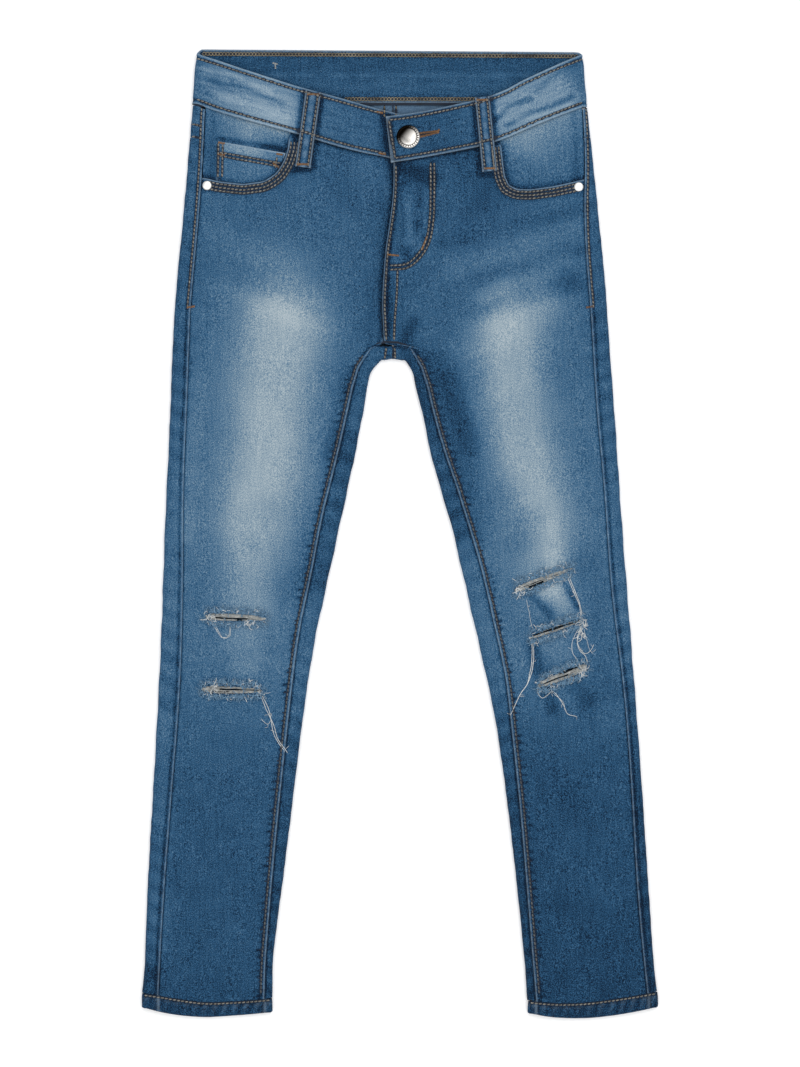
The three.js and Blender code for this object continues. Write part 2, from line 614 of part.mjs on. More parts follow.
// An eyelet with a straight slot, cut through the upper end of the band only.
function buttonhole() {
  const { x, y } = BUTTON;
  const { radius, endX, endY, width } = BUTTONHOLE;
  const opening = Math.asin(width / 2 / radius);
  const lean = Math.atan2(endY - y, endX - x);
  const outline = [[endX, endY + width / 2]];
  for (let i = 0; i <= EYELET_STEPS; i += 1) {
    const angle = lean + opening + ((2 * Math.PI - 2 * opening) * i) / EYELET_STEPS;
    outline.push([x + radius * Math.cos(angle), y + radius * Math.sin(angle)]);
  }
  outline.push([endX, endY - width / 2]);
  const shape = new THREE.Shape(outline.map(([px, py]) => new THREE.Vector2(px, py)));
  const upperPly = BAND_HEIGHT - BAND_CLOTH - GAP / 2;
  const geometry = new THREE.ExtrudeGeometry(shape, { depth: CUTTER.height, bevelEnabled: false });
  return toSolid(geometry.translate(0, 0, upperPly));
}

function hem(side) {
  const stations = [];
  const radius = HEM_HEIGHT / 2;
  const add = (x, z, innerX, innerZ) => {
    const [top, foot] = [along(side.hemTop, x), along(side.hemFoot, x)];
    stations.push({
      outside: [[x, foot, z], [x, top, z]],
      inside: [[innerX, foot, innerZ], [innerX, top, innerZ]],
    });
  };
  const across = hemStations(side).sort((a, b) => a - b);
  for (const x of across) {
    const z = faceHeight(x, HEM_Y) + HEM_HEIGHT - EDGE_HEIGHT;
    add(x, z, x, z - HEM_CLOTH);
  }
  const turn = (direction) => {
    const centreX = direction > 0 ? across.at(-1) : across[0];
    for (let k = 1; k < FOLD_STEPS; k += 1) {
      const i = direction > 0 ? k : FOLD_STEPS - k;
      const out = direction * Math.sin((Math.PI * i) / FOLD_STEPS);
      const up = Math.cos((Math.PI * i) / FOLD_STEPS);
      const inner = radius - HEM_CLOTH;
      add(centreX + radius * out, radius + radius * up, centreX + inner * out, radius + inner * up);
    }
  };
  turn(1);
  for (const x of [...across].reverse()) add(x, 0, x, HEM_CLOTH);
  turn(-1);
  return strap(stations, true);
}

function beltLoop(side, { top, foot, width }) {
  const [dx, dy] = [foot[0] - top[0], foot[1] - top[1]];
  const length = Math.hypot(dx, dy);
  const across = [(-dy / length) * (width / 2), (dx / length) * (width / 2)];
  const stations = [];
  for (let i = 0; i <= LOOP_STEPS; i += 1) {
    const [x, y] = [lerp(top[0], foot[0], i / LOOP_STEPS), lerp(top[1], foot[1], i / LOOP_STEPS)];
    const onBand = smoothstep(y - along(side.bandSeam, x), LOOP_STEP.from, LOOP_STEP.to);
    const under = lerp(faceHeight(x, y) + GAP + LOOP_LIFT, BAND_HEIGHT + GAP, onBand);
    const edges = (z) => [[x - across[0], y - across[1], z], [x + across[0], y + across[1], z]];
    stations.push({ outside: edges(under + LOOP_CLOTH), inside: edges(under) });
  }
  return strap(stations);
}

// A domed cap with its rim at 0 and, where foot is negative, a shank down to it.
function domed(radius, rise, foot) {
  const profile = [new THREE.Vector2(0, foot)];
  if (foot < 0) profile.push(new THREE.Vector2(BUTTON.shank, foot), new THREE.Vector2(BUTTON.shank, 0));
  profile.push(new THREE.Vector2(radius - CAP_CHAMFER, 0));
  for (const [out, up] of DOME) profile.push(new THREE.Vector2(radius * out, rise * up));
  return new THREE.LatheGeometry(profile, CAP_STEPS).rotateX(Math.PI / 2);
}

// ---- The garment ----

const DENIM = { color: 0x3f6b93, roughness: 0.95, metalness: 0 };
const INSIDE_DENIM = { color: 0x6d8298, roughness: 0.95, metalness: 0 };
const METAL = { color: 0xb9b6b0, roughness: 0.3, metalness: 1 };

const group = new THREE.Group();
function add(name, geometry, finish) {
  const mesh = new THREE.Mesh(geometry, new THREE.MeshStandardMaterial(finish));
  mesh.name = name;
  group.add(mesh);
  return mesh;
}

// The centre edge of a front, from the waistband to the crotch, shifted from the fly edge.
function centreEdge(side, topX, shift) {
  const heights = places(along(side.bandSeam, topX) - SEAM, CRISSCROSS_Y + 1, FLY_EDGE_PITCH);
  return heights.map((y) => [along(FLY_EDGE, y) + shift(y), y]);
}
const rightCentre = centreEdge(RIGHT, CENTRE_X + FLY_LAP_WIDTH, (y) => along(FLY_LAP, y) - GAP / 2);
const leftCentre = centreEdge(LEFT, CENTRE_X, () => GAP / 2);

add("front_right", frontPanel(RIGHT, rightCentre, rightFrontHeight, POCKET_RIGHT), DENIM);
add("front_left", frontPanel(LEFT, leftCentre, faceHeight, POCKET_LEFT), DENIM);
add("back_right", backPanel(RIGHT), DENIM);
add("back_left", backPanel(LEFT), DENIM);
add("yoke_right", yoke(RIGHT), DENIM);
add("yoke_left", yoke(LEFT), DENIM);
add("waistband", waistband(), DENIM);
add("pocket_facing_right", pocketFacing(RIGHT, POCKET_RIGHT), INSIDE_DENIM);
add("pocket_facing_left", pocketFacing(LEFT, POCKET_LEFT), INSIDE_DENIM);
add("coin_pocket", coinPocket(), DENIM);
add("fly_facing", flyFacing(), INSIDE_DENIM);
add("hem_right", hem(RIGHT), DENIM);
add("hem_left", hem(LEFT), DENIM);
add("belt_loop_right", beltLoop(RIGHT, LOOP_RIGHT), DENIM);
add("belt_loop_left", beltLoop(LEFT, LOOP_LEFT), DENIM);

const button = add("button", domed(BUTTON.radius, BUTTON.rise, -(BAND_CLOTH + GAP)), METAL);
button.position.set(BUTTON.x, BUTTON.y, BAND_HEIGHT + GAP);
for (const [name, [x, y]] of Object.entries(RIVETS)) {
  const rivet = add(name, domed(RIVET.radius, RIVET.rise, 0), METAL);
  rivet.position.set(x, y, faceHeight(x, y) + SEAM);
}

export default group;
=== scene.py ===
"""Ripped skinny jeans for a child, laid flat on their back with the front up.

Lengths in the classes below are millimetres in the frame's own axes: +X is the wearer's left, +Y runs
from the hems to the waist and +Z is up from the floor. Meshes are turned to metres as they are made.
"""

import logging
import math
from dataclasses import dataclass, field
from enum import Enum
from typing import Callable, Iterable, Optional, Sequence

import bmesh
import bpy
import numpy as np
from mathutils import Matrix, Vector
from mathutils.bvhtree import BVHTree
from mathutils.geometry import tessellate_polygon


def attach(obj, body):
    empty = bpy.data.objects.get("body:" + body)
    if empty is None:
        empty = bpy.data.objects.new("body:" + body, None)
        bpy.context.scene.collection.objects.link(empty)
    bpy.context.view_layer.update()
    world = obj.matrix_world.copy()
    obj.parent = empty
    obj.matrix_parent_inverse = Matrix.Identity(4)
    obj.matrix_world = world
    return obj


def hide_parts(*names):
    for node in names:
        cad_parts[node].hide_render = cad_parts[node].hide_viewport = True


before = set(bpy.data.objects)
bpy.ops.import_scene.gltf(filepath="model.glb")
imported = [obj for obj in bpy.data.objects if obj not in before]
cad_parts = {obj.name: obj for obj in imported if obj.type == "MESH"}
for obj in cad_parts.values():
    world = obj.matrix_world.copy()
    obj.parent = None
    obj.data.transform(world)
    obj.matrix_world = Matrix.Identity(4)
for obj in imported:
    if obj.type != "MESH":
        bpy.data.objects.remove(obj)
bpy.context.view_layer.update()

MM = 0.001
LOG = logging.getLogger("jeans")
Array = np.ndarray
Point = tuple[float, float]


class Side(Enum):
    """The wearer's side of a piece; the value is the sign of its X."""

    RIGHT = -1
    LEFT = 1

    @property
    def label(self) -> str:
        """The word that ends the names of this side's pieces."""
        return self.name.lower()


class Slot(Enum):
    """Material slots of the record."""

    DENIM = "denim"
    THREAD = "thread"
    BRIGHT = "thread_bright"
    WEFT = "weft"
    METAL = "metal"


# ---------------------------------------------------------------- numbers and curves


def smooth(value: Array, low: float, high: float) -> Array:
    """Smooth step from 0 at low to 1 at high.

    Args:
        value: Where to evaluate.
        low: Start of the step.
        high: End of the step.

    Returns:
        The step, between 0 and 1.
    """
    t = np.clip((np.asarray(value, float) - low) / (high - low), 0.0, 1.0)
    return t * t * (3.0 - 2.0 * t)


def bell(distance: Array, reach: float) -> Array:
    """Bell curve that is 1 at distance 0 and fades over reach."""
    return np.exp(-((np.asarray(distance, float) / reach) ** 2))


def mix(a: Array, b: Array, t: Array) -> Array:
    """Linear blend from a to b."""
    return a + (b - a) * t


def ripple(along: Array, pitch: float, seed: float = 0.0) -> Array:
    """Uneven wave of about one pitch, between -1 and 1.

    Args:
        along: Distance along the seam.
        pitch: Usual length of one wave.
        seed: Shifts the pattern, so that seams differ.

    Returns:
        The height of the wave.
    """
    drift = 1.1 * np.sin(along / (2.3 * pitch) + 1.7 * seed) + 0.7 * np.sin(along / (3.7 * pitch) + seed)
    swell = 0.65 + 0.35 * np.sin(along / (1.9 * pitch) + 2.9 * seed)
    return swell * np.sin(2 * math.pi * along / pitch + drift + seed)


def segment_distance(x: Array, y: Array, start: Point, end: Point) -> Array:
    """Distance from points to a straight segment.

    Args:
        x: X of the points.
        y: Y of the points.
        start: One end of the segment.
        end: The other end.

    Returns:
        The distances.
    """
    (ax, ay), (bx, by) = start, end
    length2 = (bx - ax) ** 2 + (by - ay) ** 2
    t = np.clip(((x - ax) * (bx - ax) + (y - ay) * (by - ay)) / length2, 0.0, 1.0)
    return np.hypot(x - mix(ax, bx, t), y - mix(ay, by, t))


def path_distance(x: Array, y: Array, path: Sequence[Point]) -> Array:
    """Distance from points to the nearest segment of a path."""
    return np.minimum.reduce([segment_distance(x, y, a, b) for a, b in zip(path[:-1], path[1:])])


class SmoothLine:
    """A smooth line through stations, straight beyond its ends."""

    def __init__(self, stations: Iterable[Point]) -> None:
        """Sorts the stations and finds the slope at each.

        Args:
            stations: Pairs of place and value.
        """
        pairs = sorted(stations)
        self.t = np.array([p[0] for p in pairs], float)
        self.v = np.array([p[1] for p in pairs], float)
        self.slope = np.gradient(self.v, self.t)

    def __call__(self, place: Array) -> Array:
        """The line's value.

        Args:
            place: Where to evaluate.

        Returns:
            The values.
        """
        place = np.asarray(place, float)
        i = np.clip(np.searchsorted(self.t, place) - 1, 0, len(self.t) - 2)
        span = self.t[i + 1] - self.t[i]
        u = (place - self.t[i]) / span
        inside = np.clip(u, 0.0, 1.0)
        rise = inside * inside * (3 - 2 * inside)
        bend = self.slope[i] * inside * (1 - inside) ** 2 - self.slope[i + 1] * inside**2 * (1 - inside)
        past = self.slope[i] * np.minimum(u, 0.0) * span + self.slope[i + 1] * np.maximum(u - 1, 0.0) * span
        return self.v[i] + (self.v[i + 1] - self.v[i]) * rise + bend * span + past


FLY_SAG = SmoothLine(((264.0, 0.0), (218.0, 1.9), (185.0, 1.7), (146.0, 3.2), (137.0, 3.5)))


class Section:
    """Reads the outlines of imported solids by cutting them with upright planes."""

    def __init__(self, *nodes: str) -> None:
        """Gathers the edges of the nodes' triangles.

        Args:
            nodes: Names of the solids, cut together.
        """
        starts, ends = [], []
        for name in nodes:
            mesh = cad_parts[name].data
            mesh.calc_loop_triangles()
            places = np.array([v.co for v in mesh.vertices]) / MM
            corners = places[np.array([t.vertices for t in mesh.loop_triangles])]
            starts.append(corners.reshape(-1, 3))
            ends.append(np.roll(corners, -1, axis=1).reshape(-1, 3))
        self.start = np.concatenate(starts)
        self.end = np.concatenate(ends)

    def span(self, axis: int, at: float, above: float = -1.0) -> Point:
        """Lowest and highest place of the cut along the other level axis.

        Args:
            axis: 0 cuts at an X, 1 at a Y.
            at: Where the plane stands.
            above: Only the cut above this height counts.

        Returns:
            The two places.
        """
        a, b = self.start[:, axis] - at, self.end[:, axis] - at
        cut = (a * b <= 0) & (a != b)
        t = (a[cut] / (a[cut] - b[cut]))[:, None]
        places = mix(self.start[cut], self.end[cut], t)
        places = places[places[:, 2] > above][:, 1 - axis]
        return float(places.min()), float(places.max())


# ---------------------------------------------------------------- the pattern and the drape


@dataclass
class Pattern:
    """Outline and seam lines of one side of the jeans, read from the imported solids."""

    side: Side
    seam_gap: float = 0.2
    hem_end: float = -332.5
    arch_start: float = 104.0
    crossing: float = 135.0
    waist: float = 304.0
    yoke_seam: float = 284.8

    def __post_init__(self) -> None:
        """Cuts the solids at regular stations."""
        word = self.side.label
        front = Section(f"front_{word}")
        back = Section(f"back_{word}", f"yoke_{word}", f"hem_{word}")
        facing = Section(f"pocket_facing_{word}")
        left_front = Section("front_left")
        hem = Section(f"hem_{word}")
        self.band = Section("waistband")
        self.front = front
        sign = self.side.value

        def pick(span: Point, outward: bool) -> float:
            """The end of a span that faces out from, or in to, the middle."""
            return span[1] if (sign > 0) == outward else span[0]

        outer_ys = [y for y in np.linspace(self.hem_end, self.waist, 34) if abs(y - self.yoke_seam) > 2.0]
        self.outer = SmoothLine((y, pick(back.span(1, y), True)) for y in outer_ys)
        leg_ys = np.linspace(self.hem_end, self.arch_start, 24)
        self.inner = SmoothLine((y, pick(back.span(1, y), False)) for y in leg_ys)
        seam_ys = np.linspace(-328.0, 236.0, 30)
        outseam = [(y, pick(front.span(1, y), True) + sign * self.seam_gap) for y in seam_ys]
        outseam += [(y, pick(facing.span(1, y), True)) for y in (262.0, 280.0, 297.0)]
        self.outseam = SmoothLine(outseam)
        seam_ys = [*np.linspace(-328.0, 97.0, 22), 104.5, 112.0, 119.0, 126.0, 133.0]
        self.inseam = SmoothLine((y, pick(front.span(1, y), False) - sign * self.seam_gap) for y in seam_ys)
        fly_ys = np.linspace(137.0, 264.0, 14)
        self.fly = SmoothLine((y, left_front.span(1, y)[0] - self.sag(y)) for y in fly_ys)
        self.centre = SmoothLine((y, pick(front.span(1, y), False) - self.sag(y)) for y in fly_ys)
        self.hem_ends = (float(hem.start[:, 0].min()), float(hem.start[:, 0].max()))
        hem_xs = np.linspace(self.hem_ends[0] + 3.6, self.hem_ends[1] - 3.6, 9)
        self.hem_foot = SmoothLine((x, hem.span(0, x, 3.0)[0]) for x in hem_xs)
        self.hem_top = SmoothLine((x, hem.span(0, x, 3.0)[1]) for x in hem_xs)
        band_end = -13.0 if self.side is Side.RIGHT else -4.0
        band_xs = np.linspace(float(self.outer(326.0)) - sign * 4.5, band_end, 14)
        above = 3.0 if self.side is Side.RIGHT else 4.3
        self.band_foot = SmoothLine((x, self.band.span(0, x, above)[0]) for x in band_xs)
        self.band_head = SmoothLine((x, self.band.span(0, x, above)[1]) for x in band_xs)

    def sag(self, y: float) -> float:
        """How far the centre front is pulled over towards the right leg, more and more down the fly."""
        return float(FLY_SAG(np.array(y)))

    def inner_edge(self, y: Array) -> Array:
        """Inner edge of the front: the inseam, the crossing at the crotch, then the centre front."""
        return mix(self.inseam(np.minimum(y, self.crossing - 1.0)), self.centre(y), smooth(y, 132.5, 137.0))

    def top_of_front(self, x: float) -> float:
        """Y of the front panel's upper edge: the pocket mouth, then the waistband seam."""
        return self.front.span(0, x)[1]


@dataclass(frozen=True)
class Crease:
    """A soft ridge or trough between two points.

    A positive rise is a ridge. The reach is the half width.
    """

    start: Point
    end: Point
    reach: float
    rise: float


BROAD_FOLDS = (
    Crease((50, 168), (124, 204), 9, 0.7), Crease((44, 142), (112, 176), 9, -0.5),
    Crease((-128, 190), (-60, 160), 10, 0.6), Crease((-30, 112), (-104, 70), 12, 0.6),
    Crease((28, 92), (112, 44), 12, 0.6), Crease((-150, -84), (-84, -86), 11, 0.8),
    Crease((78, -58), (144, -44), 9, 0.7), Crease((86, -92), (146, -80), 9, 0.8),
    Crease((-160, -190), (-100, -176), 14, 0.5), Crease((96, -176), (160, -196), 14, 0.5),
)
FINE_CREASES = (
    Crease((36, 196), (112, 236), 4.0, 0.45), Crease((30, 176), (118, 222), 4.5, -0.4),
    Crease((58, 150), (126, 186), 4.0, 0.4), Crease((44, 226), (104, 246), 4.0, 0.3),
    Crease((-132, 222), (-78, 196), 4.5, 0.4), Crease((-130, 206), (-70, 178), 4.0, -0.35),
    Crease((-26, 150), (-66, 176), 4.0, 0.45), Crease((-22, 138), (-62, 152), 4.0, -0.4),
    Crease((8, 140), (46, 158), 4.0, 0.45), Crease((12, 128), (52, 134), 4.5, -0.4),
    Crease((-36, 88), (-74, 96), 4.5, 0.4), Crease((24, 76), (60, 90), 4.5, 0.4),
    Crease((-46, 40), (-88, 22), 6.0, 0.4), Crease((36, 34), (78, 12), 6.0, 0.4),
    Crease((90, -40), (122, -72), 4.5, 1.1), Crease((92, -62), (108, -74), 3.5, -0.8),
    Crease((118.5, -36), (127.5, -54), 4.0, -1.1), Crease((104, -82), (122, -104), 4.5, 0.8),
    Crease((96, -80), (106, -104), 3.5, -0.7), Crease((112, -112), (134, -132), 6.0, 0.5),
    Crease((-128, -72), (-112, -104), 6.0, 0.4), Crease((-112, -122), (-134, -136), 5.0, -0.5),
    Crease((-170, 20), (-130, 10), 5.0, 0.35), Crease((-168, -30), (-138, -40), 5.0, 0.35),
    Crease((150, 10), (120, -4), 5.0, 0.35), Crease((158, -76), (140, -88), 5.0, 0.35),
    Crease((-164, -236), (-112, -222), 7.0, 0.4), Crease((110, -236), (166, -250), 7.0, 0.4),
    Crease((-172, -292), (-120, -300), 8.0, 0.35), Crease((104, -296), (168, -286), 8.0, 0.35),
)


@dataclass(frozen=True)
class Drape:
    """Height of the garment's upper face as it lies."""

    right: Pattern
    left: Pattern
    edge_height: float = 6.0
    mid_height: float = 4.7
    fold_reach: float = 24.0
    fly_rise: float = 1.2
    fly_drop: float = 2.8
    centre: float = -5.0

    def base(self, x: Array, y: Array) -> Array:
        """Height with only the broad folds.

        Args:
            x: X of the points.
            y: Y of the points.

        Returns:
            The heights.
        """
        x, y = np.broadcast_arrays(np.asarray(x, float), np.asarray(y, float))
        on_right = x < self.centre
        outer = np.where(on_right, self.right.outer(y), self.left.outer(y))
        inner = np.where(on_right, self.right.inner(y), self.left.inner(y))
        to_arch = np.hypot(np.maximum(np.abs(x - self.centre) - 14, 0), y - 100)
        to_inner = np.where(y < 100, np.abs(x - inner), to_arch)
        to_fold = np.minimum(np.abs(x - outer), to_inner)
        height = mix(self.mid_height, self.edge_height, bell(to_fold, self.fold_reach))
        for fold in BROAD_FOLDS:
            height = height + fold.rise * bell(segment_distance(x, y, fold.start, fold.end), fold.reach)
        from_fly = x - self.left.fly(np.clip(y, 137, 264))
        zone = smooth(from_fly, -34, -14) * (1 - smooth(from_fly, 30, 46))
        return height + self.fly_rise * zone * smooth(y, 150, 184)

    def face(self, x: Array, y: Array) -> Array:
        """Height with the fine creases and the slight unevenness of worn cloth too."""
        height = self.base(x, y)
        for crease in FINE_CREASES:
            away = segment_distance(x, y, crease.start, crease.end)
            height = height + crease.rise * bell(away, crease.reach)
        uneven = np.sin(x / 11 + y / 17) * np.sin(y / 23 - x / 31) + 0.6 * np.sin(x / 7.3 - y / 13.1)
        return height + 0.14 * uneven

    def dip(self, x: Array, y: Array) -> Array:
        """How far the right front goes down under the left one at the fly."""
        from_fly = x - self.left.fly(np.clip(y, 137, 264))
        return self.fly_drop * smooth(from_fly, -9, 0.5) * smooth(y, 150, 172)


@dataclass(frozen=True)
class FadeAndShadeBlob:
    """A soft patch along a path. Some are fades and darker patches of the denim's washing; others are painted
    shade in creases and beside raised edges and belt loops. Its tone is added inside its core and fades over
    its reach.
    """

    path: tuple[Point, ...]
    core: float
    reach: float
    tone: float


FLY_STITCH: tuple[Point, ...] = (
    (23.4, 266.5), (23.4, 242.0), (22.8, 226.0), (19.2, 208.4), (13.2, 199.0), (6.0, 193.2), (-5.0, 191.6),
)


@dataclass(frozen=True)
class Wash:
    """How light the denim is, from its washing and from painted shade: 0 is the deepest blue and 1 the
    palest.
    """

    blobs: tuple[FadeAndShadeBlob, ...] = (
        FadeAndShadeBlob(((-90, 164), (-89, 130), (-93, 90), (-97, 44), (-101, 16)), 12, 44, 0.24),
        FadeAndShadeBlob(((-90, 150), (-92, 100), (-98, 40), (-104, 0), (-108, -50)), 4, 28, 0.23),
        FadeAndShadeBlob(((-80, 170), (-60, 146)), 8, 22, 0.10),
        FadeAndShadeBlob(((-112, -80), (-110, -92)), 5, 14, 0.12),
        FadeAndShadeBlob(((90, 162), (81, 120), (88, 66), (98, 16)), 8, 42, 0.20),
        FadeAndShadeBlob(((82, 146), (82, 96), (91, 50), (102, 6), (104, -28)), 4, 26, 0.21),
        FadeAndShadeBlob(((58, 136), (84, 156), (100, 168)), 3, 20, 0.13),
        FadeAndShadeBlob(((92, 183), (116, 183)), 4, 12, -0.10),
        FadeAndShadeBlob(((-112, 180), (-68, 184)), 4, 13, -0.08),
        FadeAndShadeBlob(((-101, 16), (-104, -4)), 4, 16, -0.09),
        FadeAndShadeBlob(((78, 30), (84, -2)), 4, 14, -0.08),
        FadeAndShadeBlob(((-52, 262), (-40, 246)), 6, 16, -0.06),
        FadeAndShadeBlob(((-36, 112), (-50, 58)), 3, 8, -0.10),
        FadeAndShadeBlob(((36, 112), (52, 62)), 3, 9, -0.09),
        FadeAndShadeBlob(((-4, 265), (22, 255)), 2, 7, -0.16),
        FadeAndShadeBlob(((2, 252), (3, 214)), 0.6, 3, -0.10),
        FadeAndShadeBlob(((8, 240), (8, 210)), 0.8, 3.4, 0.12),
        FadeAndShadeBlob(((14.5, 246), (14, 222)), 0.8, 3.4, -0.12),
        FadeAndShadeBlob(((13, 222), (15, 212)), 0.8, 3.6, -0.12),
        FadeAndShadeBlob(((2, 206), (6, 198)), 0.8, 4, -0.10),
        # painted shadow along the edge of the fly
        FadeAndShadeBlob(((-7, 184), (-8, 142)), 0.5, 2.6, -0.10),
        FadeAndShadeBlob(((10, 152), (3, 136)), 1.5, 5, -0.14),
        FadeAndShadeBlob(((68, 150), (72, 104)), 3, 12, 0.05),
        FadeAndShadeBlob(((108, 2), (113, -24)), 3, 10, 0.08),
        FadeAndShadeBlob(((130, 330), (138, 322)), 5, 14, -0.15),
        FadeAndShadeBlob(((-126, 327), (-116, 327)), 4, 11, -0.10),
        # painted shadow of the belt loop on the pocket facing
        FadeAndShadeBlob(((-100, 285), (-84, 280)), 3, 8, -0.14),
        FadeAndShadeBlob(((-146, 110), (-150, 60), (-154, 0)), 3, 8, 0.07),
        FadeAndShadeBlob(((-170, -140), (-176, -300)), 4, 9, 0.09),
        FadeAndShadeBlob(((102, -24), (107, -31)), 8, 14, 0.12),
        FadeAndShadeBlob(((56, 154), (72, 166)), 4, 14, 0.06),
        # painted shadow by the belt loop at the coin pocket's corner, and along the coin pocket's top edge
        FadeAndShadeBlob(((-92, 275), (-85, 268)), 3, 10, -0.16),
        FadeAndShadeBlob(((-130, 284.2), (-85, 276.4)), 0.3, 2.8, -0.24),
        FadeAndShadeBlob(((-82, 8), (-78, -30)), 8, 22, -0.08),
        FadeAndShadeBlob(((-126, 134), (-122, 90)), 6, 20, 0.05),
        FadeAndShadeBlob(((-64, 150), (-66, 110)), 4, 14, 0.05),
        FadeAndShadeBlob(((94, 8), (96, -20)), 4, 14, -0.13),
        FadeAndShadeBlob(((134, 130), (136, 90)), 4, 18, 0.05),
        FadeAndShadeBlob(((52, 266), (64, 240)), 4, 16, -0.06),
        FadeAndShadeBlob(((136, -20), (146, -60), (150, -110)), 4, 18, -0.06),
        FadeAndShadeBlob(((105, -44), (114, -53)), 4, 9, 0.12),
        FadeAndShadeBlob(((118, -44), (124, -54)), 4, 8, 0.12),
        # painted shade in the two creases between the first and second rips of the left leg
        FadeAndShadeBlob(((94, -43), (108, -58)), 0.8, 4.4, -0.26),
        FadeAndShadeBlob(((118.5, -36), (127.5, -53)), 0.5, 3.2, -0.32),
        FadeAndShadeBlob(((110, -78), (116, -86)), 5, 10, 0.08),
        # painted shade in a crease below the second rip
        FadeAndShadeBlob(((95, -80), (99, -98)), 1.5, 6, -0.20),
        FadeAndShadeBlob(((117, -112), (122, -116)), 5, 10, 0.08),
        # painted shade in the folds below the third rip
        FadeAndShadeBlob(((107, -113), (110, -126)), 1, 6, -0.16),
        FadeAndShadeBlob(((126, -110), (134, -120)), 2, 8, -0.14),
        FadeAndShadeBlob(((-112, 326), (-92, 300)), 12, 34, 0.28),
        FadeAndShadeBlob(((-92, 294), (-100, 291)), 5, 13, 0.10),
        FadeAndShadeBlob(((112, 322), (84, 300)), 12, 34, 0.26),
        FadeAndShadeBlob(((68, 297), (79, 307), (94, 312)), 0.6, 2.6, -0.22),
        FadeAndShadeBlob(((77, 293), (94, 302), (108, 306), (124, 314)), 0.6, 2.6, -0.20),
        FadeAndShadeBlob(((70, 302), (83, 308)), 0.6, 2.4, 0.10),
        FadeAndShadeBlob(((98, 318), (112, 330), (126, 336)), 0.6, 2.8, -0.10),
        FadeAndShadeBlob(((84, 297), (102, 301), (122, 308)), 0.6, 2.4, 0.09),
        FadeAndShadeBlob(((-136, 326), (-110, 318), (-84, 308)), 0.6, 2.6, -0.12),
        FadeAndShadeBlob(((-140, 334), (-118, 328), (-92, 316)), 0.6, 2.4, 0.08),
        FadeAndShadeBlob(((-130, 314), (-104, 308), (-80, 298)), 0.6, 2.4, 0.09),
        FadeAndShadeBlob(((92, 290), (108, 284)), 8, 24, 0.05),
        FadeAndShadeBlob(((30, 290), (56, 262), (40, 236)), 8, 30, -0.08),
        FadeAndShadeBlob(((60, 172), (118, 196)), 2, 9, 0.09),
        FadeAndShadeBlob(((52, 158), (130, 180)), 2, 7, -0.08),
        FadeAndShadeBlob(((36, 190), (126, 218)), 2, 8, 0.07),
        FadeAndShadeBlob(((56, 182), (134, 204)), 1, 6, -0.07),
        FadeAndShadeBlob(((30, 208), (132, 234)), 1, 7, -0.06),
        FadeAndShadeBlob(((-128, 214), (-70, 190)), 3, 12, 0.05),
        FadeAndShadeBlob(((-128, 176), (-60, 150)), 2, 9, 0.07),
        FadeAndShadeBlob(((-36, 60), (-58, -30)), 5, 18, -0.12),
        FadeAndShadeBlob(((18, 118), (34, 70), (48, 10)), 7, 20, -0.14),
        FadeAndShadeBlob(((120, -150), (130, -300)), 20, 60, -0.05),
        FadeAndShadeBlob(((-6, 230), (-8, 150)), 6, 22, -0.05),
        # painted contact shadows along both sides and under the feet of the belt loops
        FadeAndShadeBlob(((-68.9, 317), (-76.4, 262.6)), 0.3, 3.4, -0.40),
        FadeAndShadeBlob(((-55.7, 318), (-63.2, 264)), 0.3, 3.4, -0.40),
        FadeAndShadeBlob(((52.7, 313), (58.1, 260)), 0.3, 3.4, -0.40),
        FadeAndShadeBlob(((65.3, 314), (70.7, 261)), 0.3, 3.4, -0.40),
        FadeAndShadeBlob(((-75.6, 261.2), (-64, 262.6)), 0.3, 3.4, -0.40),
        FadeAndShadeBlob(((58, 258.4), (70.6, 259.2)), 0.3, 3.4, -0.40),
        # painted shadow beside the upper end of the waistband
        FadeAndShadeBlob(((-12.2, 303), (-8.2, 270)), 0.3, 2.8, -0.34),
        FadeAndShadeBlob(((3, 248), (4, 206)), 0.4, 2.4, 0.08),
        FadeAndShadeBlob(((9, 244), (10, 216)), 0.6, 3, -0.09),
        FadeAndShadeBlob(((13, 232), (14, 202)), 0.4, 2.4, 0.09),
        FadeAndShadeBlob(((18, 258), (18, 216)), 0.4, 2.4, 0.07),
        FadeAndShadeBlob(((0, 256), (20, 256)), 4, 9, -0.10),
    )
    height_tones: tuple[Point, ...] = (
        (-345, 0.16), (-300, 0.20), (-230, 0.22), (-180, 0.24), (-130, 0.32), (-90, 0.38), (-30, 0.38),
        (60, 0.34), (130, 0.29), (200, 0.30), (250, 0.31), (300, 0.30), (350, 0.28),
    )

    def tone(self, x: Array, y: Array) -> Array:
        """Tone of the denim at a place on the front, from its washing and from painted shade.

        Args:
            x: X of the points.
            y: Y of the points.

        Returns:
            The tones.
        """
        tone = SmoothLine(self.height_tones)(y) + np.zeros_like(np.asarray(x, float))
        for blob in self.blobs:
            away = path_distance(x, y, blob.path)
            tone = tone + blob.tone * bell(np.maximum(away - blob.core, 0), blob.reach * 0.62)
        blotch = np.sin(x / 19 + y / 41) * np.sin(y / 29 - x / 53) + 0.5 * np.sin(x / 8.7 + y / 12.3)
        return np.clip(tone + 0.012 * blotch, 0.0, 1.0)


# ---------------------------------------------------------------- meshes


